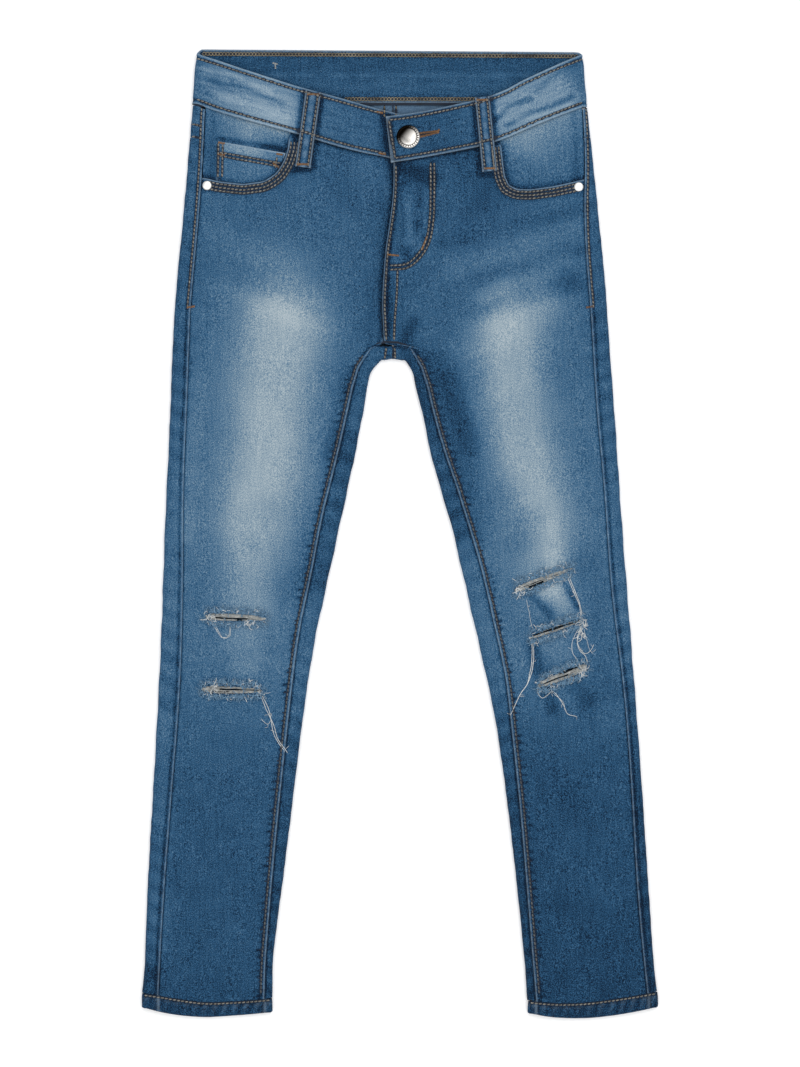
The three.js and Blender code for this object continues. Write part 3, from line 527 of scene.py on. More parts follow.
@dataclass
class Shell:
    """Collects the patches of a thin cloth wall and makes one closed mesh of them."""

    name: str
    outer: list[Array] = field(default_factory=list)
    inner: list[Array] = field(default_factory=list)
    tone: list[Array] = field(default_factory=list)
    wear: list[Array] = field(default_factory=list)
    faces: list[Array] = field(default_factory=list)
    under: list[Array] = field(default_factory=list)
    reverse: float = 1.0
    count: int = 0

    def points(
        self, outer: Array, inner: Array, tone: Array, wear: Array, under: Optional[Array] = None
    ) -> Array:
        """Adds vertices.

        Args:
            outer: Places on the seen face, one row each.
            inner: The places under them on the other face.
            tone: Tone at each, from the denim's washing and from painted shade.
            wear: Abrasion at each, 0 to 1.
            under: Tone of the other face, from washing and from painted shade, or None for the same tone.

        Returns:
            The numbers of the new vertices.
        """
        flat = outer.reshape(-1, 3)
        self.outer.append(flat)
        self.inner.append(inner.reshape(-1, 3))
        self.tone.append(np.broadcast_to(tone, outer.shape[:-1]).reshape(-1))
        self.wear.append(np.broadcast_to(wear, outer.shape[:-1]).reshape(-1))
        self.under.append(np.broadcast_to(tone if under is None else under, outer.shape[:-1]).reshape(-1))
        numbers = np.arange(self.count, self.count + len(flat))
        self.count += len(flat)
        return numbers.reshape(outer.shape[:-1])

    def grid(
        self,
        outer: Array,
        inner: Array,
        tone: Array,
        wear: Array,
        skip: Sequence[int] = (),
        under: Optional[Array] = None,
    ) -> Array:
        """Adds a grid of quads.

        Args:
            outer: Rows by columns of places on the seen face.
            inner: The places under them.
            tone: Tone from the denim's washing and from painted shade.
            wear: Abrasion.
            skip: Rows that aren't joined to the next row.
            under: Tone of the other face, from washing and from painted shade, or None for the same tone.

        Returns:
            The vertex numbers, rows by columns.
        """
        numbers = self.points(outer, inner, tone, wear, under)
        rows = [j for j in range(len(numbers) - 1) if j not in skip]
        low, high = numbers[rows], numbers[[j + 1 for j in rows]]
        quads = np.stack([low[:, :-1], low[:, 1:], high[:, 1:], high[:, :-1]], axis=-1)
        self.faces.append(quads.reshape(-1, 4))
        return numbers

    def polygon(self, numbers: Sequence[int]) -> None:
        """Fills a flat outline of existing vertices with triangles."""
        places = np.concatenate(self.outer)[list(numbers)]
        for tri in tessellate_polygon([[Vector(p) for p in places]]):
            a, b, c = (numbers[i] for i in tri)
            self.faces.append(np.array([[a, b, c, c]]))

    def build(self) -> bpy.types.Object:
        """Joins the patches where they meet, closes the open edges and makes the object.

        Returns:
            The new object, in metres.
        """
        outer, inner = np.concatenate(self.outer), np.concatenate(self.inner)
        tone, wear, under = (np.concatenate(part) for part in (self.tone, self.wear, self.under))
        faces = np.concatenate(self.faces)
        _, first, same = np.unique(np.round(outer, 3), axis=0, return_index=True, return_inverse=True)
        faces = same.reshape(-1)[faces]
        outer, inner, wear = outer[first], inner[first], wear[first]
        tones = np.concatenate([tone[first], under[first]])
        quads = [list(dict.fromkeys(face)) for face in faces.tolist()]
        quads = [face for face in quads if len(face) > 2]
        edges: dict[tuple[int, int], int] = {}
        for face in quads:
            for a, b in zip(face, face[1:] + face[:1]):
                edges[(a, b)] = edges.get((a, b), 0) + 1
        total = len(outer)
        walls = [[b, a, a + total, b + total] for a, b in edges if (b, a) not in edges]
        back = [[v + total for v in reversed(face)] for face in quads]
        mesh = bpy.data.meshes.new(self.name)
        mesh.from_pydata((np.concatenate([outer, inner]) * MM).tolist(), [], quads + back + walls)
        turned = np.repeat([0.0, self.reverse], total)
        for label, values in (("tone", tones), ("wear", np.tile(wear, 2)), ("inside", turned)):
            layer = mesh.attributes.new(label, "FLOAT", "POINT")
            layer.data.foreach_set("value", values.astype(np.float32))
        return finish_mesh(mesh)


def finish_mesh(mesh: bpy.types.Mesh, angle: float = 50.0) -> bpy.types.Object:
    """Turns a mesh's faces out, shades it smooth and links it as an object.

    Args:
        mesh: The mesh.
        angle: Edges sharper than this, in degrees, stay sharp.

    Returns:
        The object.
    """
    work = bmesh.new()
    work.from_mesh(mesh)
    bmesh.ops.recalc_face_normals(work, faces=work.faces)
    work.to_mesh(mesh)
    work.free()
    mesh.polygons.foreach_set("use_smooth", [True] * len(mesh.polygons))
    mesh.set_sharp_from_angle(angle=math.radians(angle))
    mesh.update()
    piece = bpy.data.objects.new(mesh.name, mesh)
    bpy.context.scene.collection.objects.link(piece)
    return piece


def stacked(x: Array, y: Array, z: Array) -> Array:
    """Joins X, Y and Z into places."""
    return np.stack(np.broadcast_arrays(x, y, z), axis=-1).astype(float)


def rolled(distance: Array, radius: float) -> Array:
    """How far a rounded edge falls at a distance from it."""
    t = np.clip(1 - np.asarray(distance) / radius, 0, 1)
    return radius * (1 - np.sqrt(np.clip(1 - t * t, 0, 1)))


# ---------------------------------------------------------------- finishes


def colour(red: int, green: int, blue: int) -> tuple[float, float, float, float]:
    """An sRGB colour, 0 to 255 each, as linear light."""
    parts = [c / 255 for c in (red, green, blue)]
    linear = [c / 12.92 if c <= 0.04045 else ((c + 0.055) / 1.055) ** 2.4 for c in parts]
    return (*linear, 1.0)


class NodeSheet:
    """A short hand for building a material's node tree."""

    def __init__(self, name: str) -> None:
        """Makes an empty node material with its output and surface shader.

        Args:
            name: The material's name.
        """
        self.material = bpy.data.materials.new(name)
        self.material.use_nodes = True
        self.tree = self.material.node_tree
        self.tree.nodes.clear()
        self.shader = self.add("ShaderNodeBsdfPrincipled")
        output = self.add("ShaderNodeOutputMaterial")
        self.link(self.shader.outputs["BSDF"], output.inputs["Surface"])

    def add(self, kind: str, **settings: object) -> bpy.types.Node:
        """Adds a node with the given settings."""
        node = self.tree.nodes.new(kind)
        for key, value in settings.items():
            setattr(node, key, value)
        return node

    def link(self, source: bpy.types.NodeSocket, target: bpy.types.NodeSocket) -> None:
        """Joins two sockets."""
        self.tree.links.new(source, target)

    def math(self, operation: str, a: object, b: object = 0.0, clamp: bool = False) -> bpy.types.NodeSocket:
        """A sum of two sockets or numbers.

        Args:
            operation: Blender's name of the operation.
            a: First socket or number.
            b: Second socket or number.
            clamp: Whether the result is kept between 0 and 1.

        Returns:
            The result's socket.
        """
        node = self.add("ShaderNodeMath", operation=operation, use_clamp=clamp)
        for socket, value in zip(node.inputs, (a, b)):
            if isinstance(value, (int, float)):
                socket.default_value = value
            else:
                self.link(value, socket)
        return node.outputs[0]

    def blend(self, factor: object, a: object, b: object, kind: str = "MIX") -> bpy.types.NodeSocket:
        """Mixes two colours, given as sockets or as linear colours."""
        node = self.add("ShaderNodeMix", data_type="RGBA", blend_type=kind)
        for socket, value in ((node.inputs[0], factor), (node.inputs[6], a), (node.inputs[7], b)):
            if isinstance(value, bpy.types.NodeSocket):
                self.link(value, socket)
            else:
                socket.default_value = value
        return node.outputs[2]

    def place(self, scale: tuple[float, float, float], turn: float = 0.0) -> bpy.types.NodeSocket:
        """Coordinates in millimetres, scaled and turned about Z."""
        where = self.add("ShaderNodeTexCoord").outputs["Object"]
        mapping = self.add("ShaderNodeMapping")
        mapping.inputs["Scale"].default_value = [s / MM for s in scale]
        mapping.inputs["Rotation"].default_value = (0, 0, turn)
        self.link(where, mapping.inputs["Vector"])
        return mapping.outputs[0]

    def noise(
        self, where: bpy.types.NodeSocket, scale: float, detail: float, rough: float = 0.5
    ) -> bpy.types.NodeSocket:
        """Noise between 0 and 1."""
        node = self.add("ShaderNodeTexNoise")
        self.link(where, node.inputs["Vector"])
        node.inputs["Scale"].default_value = scale
        node.inputs["Detail"].default_value = detail
        node.inputs["Roughness"].default_value = rough
        return node.outputs[0]

    def attribute(self, name: str) -> bpy.types.NodeSocket:
        """A number stored on the mesh's vertices."""
        return self.add("ShaderNodeAttribute", attribute_name=name).outputs["Fac"]

    def bump(self, height: bpy.types.NodeSocket, strength: float, depth: float) -> None:
        """Adds relief of the given depth, in millimetres."""
        node = self.add("ShaderNodeBump")
        node.inputs["Strength"].default_value = strength
        node.inputs["Distance"].default_value = depth * MM
        self.link(height, node.inputs["Height"])
        self.link(node.outputs[0], self.shader.inputs["Normal"])


@dataclass(frozen=True)
class DenimFinish:
    """Stonewashed stretch denim: a right-hand twill of blue warp over pale weft."""

    ramp: tuple[tuple[float, tuple[int, int, int]], ...] = (
        (0.0, (4, 18, 36)), (0.1, (20, 50, 77)), (0.2, (28, 68, 101)), (0.38, (54, 94, 128)),
        (0.55, (88, 119, 143)), (0.75, (130, 150, 164)), (1.0, (170, 182, 188)),
    )
    worn: tuple[int, int, int] = (160, 180, 196)
    reverse: tuple[int, int, int] = (92, 112, 132)
    twill_pitch: float = 0.9
    grain: float = 1.75
    slub: float = 0.22

    def material(self) -> bpy.types.Material:
        """Builds the material.

        Returns:
            The material.
        """
        sheet = NodeSheet("stonewashed denim")
        grain = sheet.noise(sheet.place((1.0, 0.8, 1.0), 0.5), 1.65, 4.0, 0.66)
        warp = sheet.noise(sheet.place((1.0, 0.07, 1.0)), 0.9, 3.0)
        weft = sheet.noise(sheet.place((0.09, 1.0, 1.0)), 0.8, 2.0)
        mottle = sheet.noise(sheet.place((0.06, 0.05, 0.06)), 1.0, 4.0)
        twill = sheet.add("ShaderNodeTexWave", wave_type="BANDS", bands_direction="X")
        sheet.link(sheet.place((1.0, 1.0, 1.0), math.radians(-28)), twill.inputs["Vector"])
        twill.inputs["Scale"].default_value = 1.0 / self.twill_pitch / (2 * math.pi) * 2
        twill.inputs["Distortion"].default_value = 1.2
        twill.inputs["Detail"].default_value = 1.0
        # the tone attribute carries the denim's washing and the painted shade laid on the cloth
        tone = sheet.attribute("tone")
        for source, weight in ((grain, self.grain), (warp, self.slub), (weft, 0.07), (mottle, 0.11)):
            swing = sheet.math("SUBTRACT", source, 0.5)
            tone = sheet.math("ADD", tone, sheet.math("MULTIPLY", swing, weight))
        swing = sheet.math("SUBTRACT", twill.outputs["Fac"], 0.5)
        tone = sheet.math("ADD", tone, sheet.math("MULTIPLY", swing, 0.05))
        ramp = sheet.add("ShaderNodeValToRGB")
        stops = ramp.color_ramp.elements
        while len(stops) < len(self.ramp):
            stops.new(0.5)
        for stop, (place, tint) in zip(stops, self.ramp):
            stop.position = place
        for stop, (place, tint) in zip(stops, self.ramp):
            stop.color = colour(*tint)
        sheet.link(tone, ramp.inputs[0])
        wear_and_painted_light = sheet.math("MULTIPLY", sheet.attribute("wear"), sheet.math("ADD", grain, 0.45), clamp=True)
        base = sheet.blend(wear_and_painted_light, ramp.outputs[0], colour(*self.worn))
        turned = sheet.math("MULTIPLY", sheet.attribute("inside"), 0.55)
        base = sheet.blend(turned, base, colour(*self.reverse))
        sheet.link(base, sheet.shader.inputs["Base Color"])
        sheet.shader.inputs["Roughness"].default_value = 0.92
        sheet.shader.inputs["Specular IOR Level"].default_value = 0.08
        sheet.shader.inputs["Sheen Weight"].default_value = 0.03
        sheet.shader.inputs["Sheen Roughness"].default_value = 0.6
        relief = sheet.math("ADD", sheet.math("MULTIPLY", twill.outputs["Fac"], 0.5), grain)
        relief = sheet.math("ADD", relief, sheet.math("MULTIPLY", warp, 0.5))
        sheet.bump(relief, 0.55, 0.16)
        return sheet.material


@dataclass(frozen=True)
class ThreadFinish:
    """Twisted thread in one colour with darker and lighter plies."""

    name: str
    light: tuple[int, int, int]
    dark: tuple[int, int, int]
    patch: float = 0.5

    def material(self) -> bpy.types.Material:
        """Builds the material.

        Returns:
            The material.
        """
        sheet = NodeSheet(self.name)
        ply = sheet.noise(sheet.place((1.0, 1.0, 1.0)), 2.4, 2.0)
        drift = sheet.noise(sheet.place((1.0, 1.0, 1.0)), self.patch * 0.2, 1.0)
        blend = sheet.math("ADD", sheet.math("MULTIPLY", ply, 0.6), sheet.math("MULTIPLY", drift, 0.4))
        factor = sheet.math("MULTIPLY", sheet.math("SUBTRACT", blend, 0.32), 2.8, clamp=True)
        base = sheet.blend(factor, colour(*self.dark), colour(*self.light))
        sheet.link(base, sheet.shader.inputs["Base Color"])
        sheet.shader.inputs["Roughness"].default_value = 0.65
        sheet.shader.inputs["Specular IOR Level"].default_value = 0.3
        sheet.bump(ply, 0.4, 0.08)
        return sheet.material


@dataclass(frozen=True)
class MetalFinish:
    """Nickel plate with fine scratches and a tarnished bed; given a centre, it also paints shade across the
    face.
    """

    name: str
    light: tuple[int, int, int]
    dark: tuple[int, int, int]
    rough: float
    gloom: Optional[tuple[float, float, float]] = None

    def material(self) -> bpy.types.Material:
        """Builds the material.

        Returns:
            The material.
        """
        sheet = NodeSheet(self.name)
        scratch = sheet.noise(sheet.place((1.0, 0.15, 1.0), 0.6), 3.0, 4.0)
        tarnish = sheet.noise(sheet.place((1.0, 1.0, 1.0)), 0.5, 3.0)
        base = sheet.blend(tarnish, colour(*self.light), colour(*self.dark))
        if self.gloom is not None:
            base = self.shaded(sheet, base)
        sheet.link(base, sheet.shader.inputs["Base Color"])
        sheet.shader.inputs["Metallic"].default_value = 1.0
        rough = sheet.math("ADD", sheet.math("MULTIPLY", scratch, 0.18), self.rough)
        sheet.link(rough, sheet.shader.inputs["Roughness"])
        sheet.bump(scratch, 0.15, 0.03)
        return sheet.material

    def shaded(self, sheet: NodeSheet, base: bpy.types.NodeSocket) -> bpy.types.NodeSocket:
        """Darkens the tarnished bed, and paints shade across the face: dark at the upper left, bright at the
        lower right.
        """
        x, y, radius = self.gloom
        parts = sheet.add("ShaderNodeSeparateXYZ")
        sheet.link(sheet.place((1.0, 1.0, 1.0)), parts.inputs[0])
        across = sheet.math("SUBTRACT", parts.outputs[0], parts.outputs[1])
        share = sheet.math("MULTIPLY", sheet.math("SUBTRACT", across, x - y), 0.6 / radius)
        wear_and_painted_light = sheet.math("ADD", share, 0.50, clamp=True)
        base = sheet.blend(sheet.math("POWER", wear_and_painted_light, 1.5), colour(16, 12, 8), base)
        return sheet.blend(sheet.math("MULTIPLY", sheet.attribute("bed"), 0.8), base, colour(10, 8, 6))


@dataclass(frozen=True)
class FloorFinish:
    """A plain pale studio floor."""

    shade: tuple[int, int, int] = (254, 254, 254)

    def material(self) -> bpy.types.Material:
        """Builds the material.

        Returns:
            The material.
        """
        sheet = NodeSheet("pale floor")
        cloud = sheet.noise(sheet.place((0.004, 0.004, 0.004)), 1.0, 2.0)
        base = sheet.blend(cloud, colour(*self.shade), colour(*(c - 3 for c in self.shade)))
        sheet.link(base, sheet.shader.inputs["Base Color"])
        sheet.shader.inputs["Roughness"].default_value = 0.85
        sheet.shader.inputs["Emission Color"].default_value = (1.0, 1.0, 1.0, 1.0)
        sheet.shader.inputs["Emission Strength"].default_value = 0.1
        return sheet.material


TAN_THREAD = ThreadFinish("tan topstitching", (156, 152, 142), (22, 28, 36), 2.4)
ORANGE_THREAD = ThreadFinish("orange tack thread", (166, 120, 72), (52, 44, 42))
OFF_WHITE_WEFT = ThreadFinish("off-white weft", (206, 206, 200), (102, 110, 116), 2.0)
BRIGHT_NICKEL = MetalFinish("bright nickel", (246, 246, 244), (226, 226, 224), 0.42)
FURROW_SHADE = ThreadFinish("shaded furrow", (16, 34, 56), (5, 12, 22))
INSEAM_THREAD = ThreadFinish("shaded inseam thread", (112, 116, 116), (12, 20, 32), 2.4)
CHAIN_THREAD = ThreadFinish("tan chain thread", (158, 146, 120), (26, 26, 28))
LOOSE_THREAD = ThreadFinish("loose white thread", (236, 238, 236), (168, 174, 178))
FRAYED_WARP = ThreadFinish("frayed warp", (132, 174, 206), (8, 30, 56), 8.0)


def halves_of_section(corners: Array, level: float, middle: float) -> tuple[float, float]:
    """Length of thin cloth along a cut across it, to the left and to the right of its middle.

    Args:
        corners: Corners of the triangles, in millimetres.
        level: Y of the cut.
        middle: X of the middle.

    Returns:
        The two lengths, each half of what is met, because cloth has two faces.
    """
    offset = corners[:, :, 1] - level
    met = (offset.min(axis=1) < 0) & (offset.max(axis=1) > 0)
    corners, offset = corners[met], offset[met]
    after = np.roll(offset, -1, axis=1)
    crossed = (offset < 0) != (after < 0)
    share = offset / np.where(crossed, offset - after, 1.0)
    places = corners + share[..., None] * (np.roll(corners, -1, axis=1) - corners)
    pairs = places[crossed].reshape(-1, 2, 3)
    lengths = np.linalg.norm(pairs[:, 0] - pairs[:, 1], axis=1) / 2
    left = pairs[:, :, 0].mean(axis=1) < middle
    return float(lengths[left].sum()), float(lengths[~left].sum())


def opened_flat(piece: bpy.types.Object) -> tuple[float, float]:
    """Width and length in millimetres of a piece of cloth, opened out flat in its own lean.

    Args:
        piece: The cloth.

    Returns:
        The sides of the least rectangle that holds it once its folded edges are opened out.
    """
    def turned(tilt: float) -> Array:
        """The places, turned about Z."""
        cos, sin = math.cos(tilt), math.sin(tilt)
        x, y, z = places.T
        return np.stack((x * cos - y * sin, x * sin + y * cos, z), axis=1)

    piece.data.calc_loop_triangles()
    places = np.array([vertex.co for vertex in piece.data.vertices]) / MM
    faces = np.array([triangle.vertices for triangle in piece.data.loop_triangles])
    tilts = np.radians(np.arange(-12.0, 12.5, 0.5))
    laid = turned(min(tilts, key=lambda tilt: float(np.prod(np.ptp(turned(tilt)[:, :2], axis=0)))))
    low, high = laid[:, 1].min(), laid[:, 1].max()
    middle = float(np.median(laid[faces][:, :, 0]))
    levels = np.linspace(low + 1, high - 1, 26)
    reach = np.array([halves_of_section(laid[faces], level, middle) for level in levels]).max(axis=0)
    return float(reach.sum()), float(high - low)


@dataclass
class Wardrobe:
    """The finishes, each made once, and the list of dressed pieces."""

    finishes: dict[Slot, bpy.types.Material] = field(default_factory=dict)
    cloth: list[bpy.types.Object] = field(default_factory=list)

    def __post_init__(self) -> None:
        """Makes every material."""
        self.finishes = {
            Slot.DENIM: DenimFinish().material(),
            Slot.THREAD: TAN_THREAD.material(),
            Slot.BRIGHT: ORANGE_THREAD.material(),
            Slot.WEFT: OFF_WHITE_WEFT.material(),
            Slot.METAL: BRIGHT_NICKEL.material(),
        }

    def dress(
        self,
        piece: bpy.types.Object,
        slot: Slot,
        nodes: Sequence[str] = (),
        finish: Optional[bpy.types.Material] = None,
    ) -> None:
        """Gives a piece its finish, its body and the solids that it stands for.

        Args:
            piece: The piece.
            slot: Its slot.
            nodes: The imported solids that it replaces.
            finish: Its material, or None for the slot's own.
        """
        piece.data.materials.clear()
        piece.data.materials.append(finish or self.finishes[slot])
        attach(piece, "root")
        if nodes:
            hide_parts(*nodes)
        if nodes and slot is Slot.DENIM:
            self.cloth.append(piece)
        LOG.info("%s: %d faces", piece.name, len(piece.data.polygons))

    def declare(
        self, piece: bpy.types.Object, size: Optional[tuple[float, float]] = None
    ) -> None:
        """Works out the size that a piece of cloth was cut to; the size is not kept.

        Args:
            piece: The cloth.
            size: Width and length of the cut in millimetres, or None to open the piece out flat.
        """
        width, length = size or opened_flat(piece)


# ---------------------------------------------------------------- cloth pieces


@dataclass(frozen=True)
class Rip:
    """A worn-through slit across the thigh or knee of a front panel.

    Each slot is a dark gap between the bare weft threads: its level across the slit from -0.5 to 0.5, its
    half width in the same measure, and the shares of the slit's length where it starts and ends.
    """

    start: Point
    end: Point
    gape_start: float
    gape_end: float
    slots: tuple[tuple[float, float, float, float], ...] = ()

    @property
    def middle(self) -> float:
        """Y of the slit's middle."""
        return (self.start[1] + self.end[1]) / 2

    def line(self, x: Array) -> Array:
        """Y of the slit's line at an X."""
        (ax, ay), (bx, by) = self.start, self.end
        return ay + (by - ay) * (x - ax) / (bx - ax)

    def share(self, x: Array) -> Array:
        """Place along the slit, 0 at its start and 1 at its end."""
        return np.clip((x - self.start[0]) / (self.end[0] - self.start[0]), 0, 1)

    def gape(self, x: Array) -> Array:
        """How wide the slit stands open at an X."""
        t = self.share(x)
        return mix(self.gape_start, self.gape_end, t) * np.clip(np.sin(math.pi * t), 0, 1) ** 0.24


RIPS = {
    Side.RIGHT: (
        Rip((-139.2, -59.6), (-96.6, -61.2), 6.0, 4.2,
            ((-0.16, 0.10, 0.14, 0.70), (-0.36, 0.16, 0.52, 0.60))),
        Rip((-142.1, -112.0), (-99.6, -113.0), 6.4, 4.0,
            ((0.08, 0.10, 0.30, 0.98), (-0.30, 0.08, 0.16, 0.44))),
    ),
    Side.LEFT: (
        Rip((82.7, -40.4), (123.6, -25.4), 7.2, 2.6, ((-0.04, 0.09, 0.1, 0.9), (-0.36, 0.16, 0.24, 0.5))),
        Rip((93.6, -74.6), (129.0, -63.2), 4.2, 3.6, ((0.20, 0.24, 0.06, 0.96),)),
        Rip(
            (99.4, -109.2), (133.8, -95.8), 5.8, 7.2,
            ((-0.06, 0.10, 0.02, 0.62), (0.40, 0.07, 0.44, 0.82), (0.28, 0.08, 0.54, 0.72)),
        ),
    ),
}


@dataclass
class FrontPanel:
    """A front panel from the waistband to the hem, with its rolled pocket mouth and its rips."""

    pattern: Pattern
    drape: Drape
    wash: Wash
    ply: float = 0.9
    columns: int = 76
    row_pitch: float = 1.9
    top_rows: int = 60
    bend_from: float = 196.0
    tuck: float = 1.6
    pucker: float = 0.34

    def boundary(self) -> tuple[Array, Array]:
        """Upper edge of the panel from the outseam to the centre front, one place for each column."""
        pattern = self.pattern
        sign = pattern.side.value
        start = float(pattern.outseam(254.0)) - sign * 0.2
        end = float(pattern.centre(264.0)) + sign * 0.3
        xs = np.linspace(start, end, 500)
        ys = np.array([pattern.top_of_front(float(x)) for x in xs])
        run = np.concatenate([[0], np.cumsum(np.hypot(np.diff(xs), np.diff(ys)))])
        places = self.shares() * run[-1]
        return np.interp(places, run, xs), np.interp(places, run, ys)

    def shares(self) -> Array:
        """Places of the columns between the two seams, closer together near the seams."""
        t = np.linspace(0, 1, self.columns)
        return t - 0.5 / (2 * math.pi) * np.sin(2 * math.pi * t)

    def rows(self) -> tuple[Array, list[int]]:
        """Levels of the rows of the leg, with two at each rip.

        Returns:
            The levels, and the rows that aren't joined to the next one.
        """
        start = float(self.pattern.hem_top(self.pattern.outer(-330.0)))
        levels = list(np.arange(start, self.bend_from, self.row_pitch)) + [self.bend_from]
        for rip in RIPS[self.pattern.side]:
            levels = [v for v in levels if abs(v - rip.middle) > 0.7]
            levels += [rip.middle - 1e-6, rip.middle + 1e-6]
        levels.sort()
        split = [j for j in range(len(levels) - 1) if 0 < levels[j + 1] - levels[j] < 1e-4]
        return np.array(levels), split

    def plan(self) -> tuple[Array, Array, list[int], Array]:
        """Level places of every vertex.

        Returns:
            X, Y, the split rows, and how near each vertex is to the lip of a rip, 0 to 1.
        """
        pattern = self.pattern
        levels, split = self.rows()
        share = self.shares()[None, :]
        v = np.repeat(levels[:, None], share.size, axis=1)
        x = mix(pattern.outseam(v), pattern.inner_edge(v), share)
        hem = pattern.hem_top(x) - levels[0]
        y = v + (hem + self.pattern.seam_gap) * bell(v - levels[0], 30)
        tilt, total = np.zeros_like(y), np.zeros_like(y)
        for rip in RIPS[pattern.side]:
            near = bell(v - rip.middle, 22)
            tilt += near * (rip.line(x) - rip.middle)
            total += near
        y = y + tilt / np.maximum(total, 1)
        x = mix(pattern.outseam(y), pattern.inner_edge(y), share)
        lip = np.zeros_like(y)
        for rip in RIPS[pattern.side]:
            off = v - rip.middle
            half = rip.gape(x) * 0.5
            y = y + np.sign(off) * half * np.exp(-np.abs(off) / 9.0)
            lip = np.maximum(lip, np.exp(-np.abs(off) / 3.0) * (half > 0.05))
        edge_x, edge_y = self.boundary()
        t = 1 - (1 - np.linspace(0, 1, self.top_rows + 1)[1:, None]) ** 1.7
        top_y = mix(self.bend_from, edge_y[None, :], t)
        leg_x = mix(pattern.outseam(top_y), pattern.centre(np.clip(top_y, 137, 266)), share)
        goal_x = mix(pattern.outseam(edge_y), pattern.centre(np.clip(edge_y, 137, 266)), share[0])
        top_x = leg_x + smooth(t, 0, 1) * (edge_x - goal_x)[None, :]
        return (
            np.concatenate([x, top_x]), np.concatenate([y, top_y]), split,
            np.concatenate([lip, np.zeros_like(top_x)]),
        )

    def build(self, wardrobe: Wardrobe) -> bpy.types.Object:
        """Makes and dresses the panel.

        Args:
            wardrobe: The finishes.

        Returns:
            The panel.
        """
        pattern, sign = self.pattern, self.pattern.side.value
        x, y, split, lip = self.plan()
        z = self.drape.face(x, y)
        lapped = smooth(y, 136, 142)
        to_out = np.abs(x - pattern.outseam(y))
        to_inseam = np.abs(x - pattern.inseam(np.minimum(y, 134)))
        to_in = np.where(y < 135, to_inseam, np.abs(x - pattern.centre(y)))
        felled = 1 - lapped
        z += 0.45 * felled * (1 - smooth(to_in, 4.6, 6.4)) - 0.22 * felled * bell(to_in - 3.0, 0.8)
        wave = ripple(y + 0.35 * to_in, 6.0, sign + 2)
        z += self.pucker * felled * np.exp(-to_in / 5.5) * wave - felled * rolled(to_in, 0.8)
        z += 0.10 * np.exp(-to_out / 5) * ripple(y, 10.0, sign) - 0.5 * bell(to_out, 0.8)
        wear = 0.30 * felled * bell(to_in - 0.6, 0.45) * (1 + 0.4 * ripple(y, 9.0, 4))
        # darker along the inseam's stitch row and at the outseam's join: painted shade in the seams
        tone = self.wash.tone(x, y) - 0.30 * felled * bell(to_in - 3.0, 1.1) - 0.20 * bell(to_out, 0.9)
        # dark troughs between the puckers beside the inseam: painted shade
        pucker_shade = np.clip(np.sin(y * 1.2 + 1.6 * np.sin(y / 17) + 0.12 * to_in), 0, 1) ** 2
        painted_pucker_shade = pucker_shade * np.exp(-(((to_in - 4.4) / 3.0) ** 2)) * (0.7 + 0.5 * ripple(y, 31.0, sign))
        tone += felled * (0.04 * np.exp(-to_in / 8) - 0.42 * painted_pucker_shade)
        tone += 0.035 * np.exp(-to_out / 6) * ripple(y, 13.0, sign)
        mouth = self.mouth_distance(x, y)
        z += 0.5 * (1 - smooth(mouth, 7.2, 9.0)) - rolled(mouth, 1.0) - 0.2 * bell(mouth - 3.0, 0.8)
        z += 0.16 * np.exp(-((mouth - 4) / 4) ** 2) * ripple(x + y, 7.0, 5)
        wear += 0.34 * bell(mouth - 0.5, 0.5)
        # darker along the pocket mouth's stitching: painted shade
        tone -= 0.26 * bell(mouth - 4.8, 3.4)
        below_band = pattern.band_foot(np.clip(x, -144, 130)) - y
        under = 1 - smooth(below_band, 0.4, 3.0)
        under *= 1 - np.exp(-mouth / 3)
        z -= 0.9 * under
        # darker just under the waistband: painted shadow of the band
        tone -= 0.20 * bell(below_band, 1.6) + 0.05 * bell(below_band, 7.0)
        if pattern.side is Side.LEFT:
            z += 0.5 * lapped * (1 - smooth(to_in, 3.4, 5.4)) - lapped * rolled(to_in, 1.0)
            wear += 0.50 * lapped * bell(to_in - 0.6, 0.5)
            # darker along the fly's stitching and the J-stitch: painted shade
            tone -= 0.24 * lapped * bell(to_in - 3.2, 1.3)
            tone -= 0.26 * bell(path_distance(x, y, FLY_STITCH), 1.9)
        else:
            from_fly = x - self.drape.left.fly(np.clip(y, 137, 264))
            z -= self.drape.dip(x, y)
            # darker where the right front runs in under the fly: painted shadow of the fly's edge
            tone -= lapped * (0.20 * smooth(from_fly, -4, -0.5) + 0.02 * smooth(from_fly, -20, -5))
        z += lip * (0.3 + 0.3 * np.sin(x * 1.9 + y * 0.7))
        # darker at the lips of the rips: painted shade under the curled fringe
        tone -= 0.22 * lip
        shell = Shell(f"front_panel_{pattern.side.label}")
        outer = stacked(x, y, z)
        inner = stacked(x, y, z - self.ply)
        shell.grid(outer, inner, np.clip(tone, 0, 1), np.clip(wear, 0, 1), split)
        panel = shell.build()
        wardrobe.dress(panel, Slot.DENIM, [f"front_{pattern.side.label}"])
        wardrobe.declare(panel)
        return panel

    def mouth_distance(self, x: Array, y: Array) -> Array:
        """Distance to the pocket mouth."""
        path = self.mouth()
        away = np.full(x.shape, 99.0)
        near = y > 225
        away[near] = path_distance(x[near], y[near], path)
        return away

    def mouth(self) -> list[Point]:
        """The pocket mouth, from the outseam up to the waistband."""
        sign = self.pattern.side.value
        corner = 79.4 if sign < 0 else 72.0
        start = abs(float(self.pattern.outseam(254.0))) - 0.4
        even, close = np.linspace(start, corner + 8, 14), np.linspace(corner + 7, corner + 0.8, 12)
        xs = sign * np.concatenate([even, close])
        return [(float(x), self.pattern.top_of_front(float(x))) for x in xs]


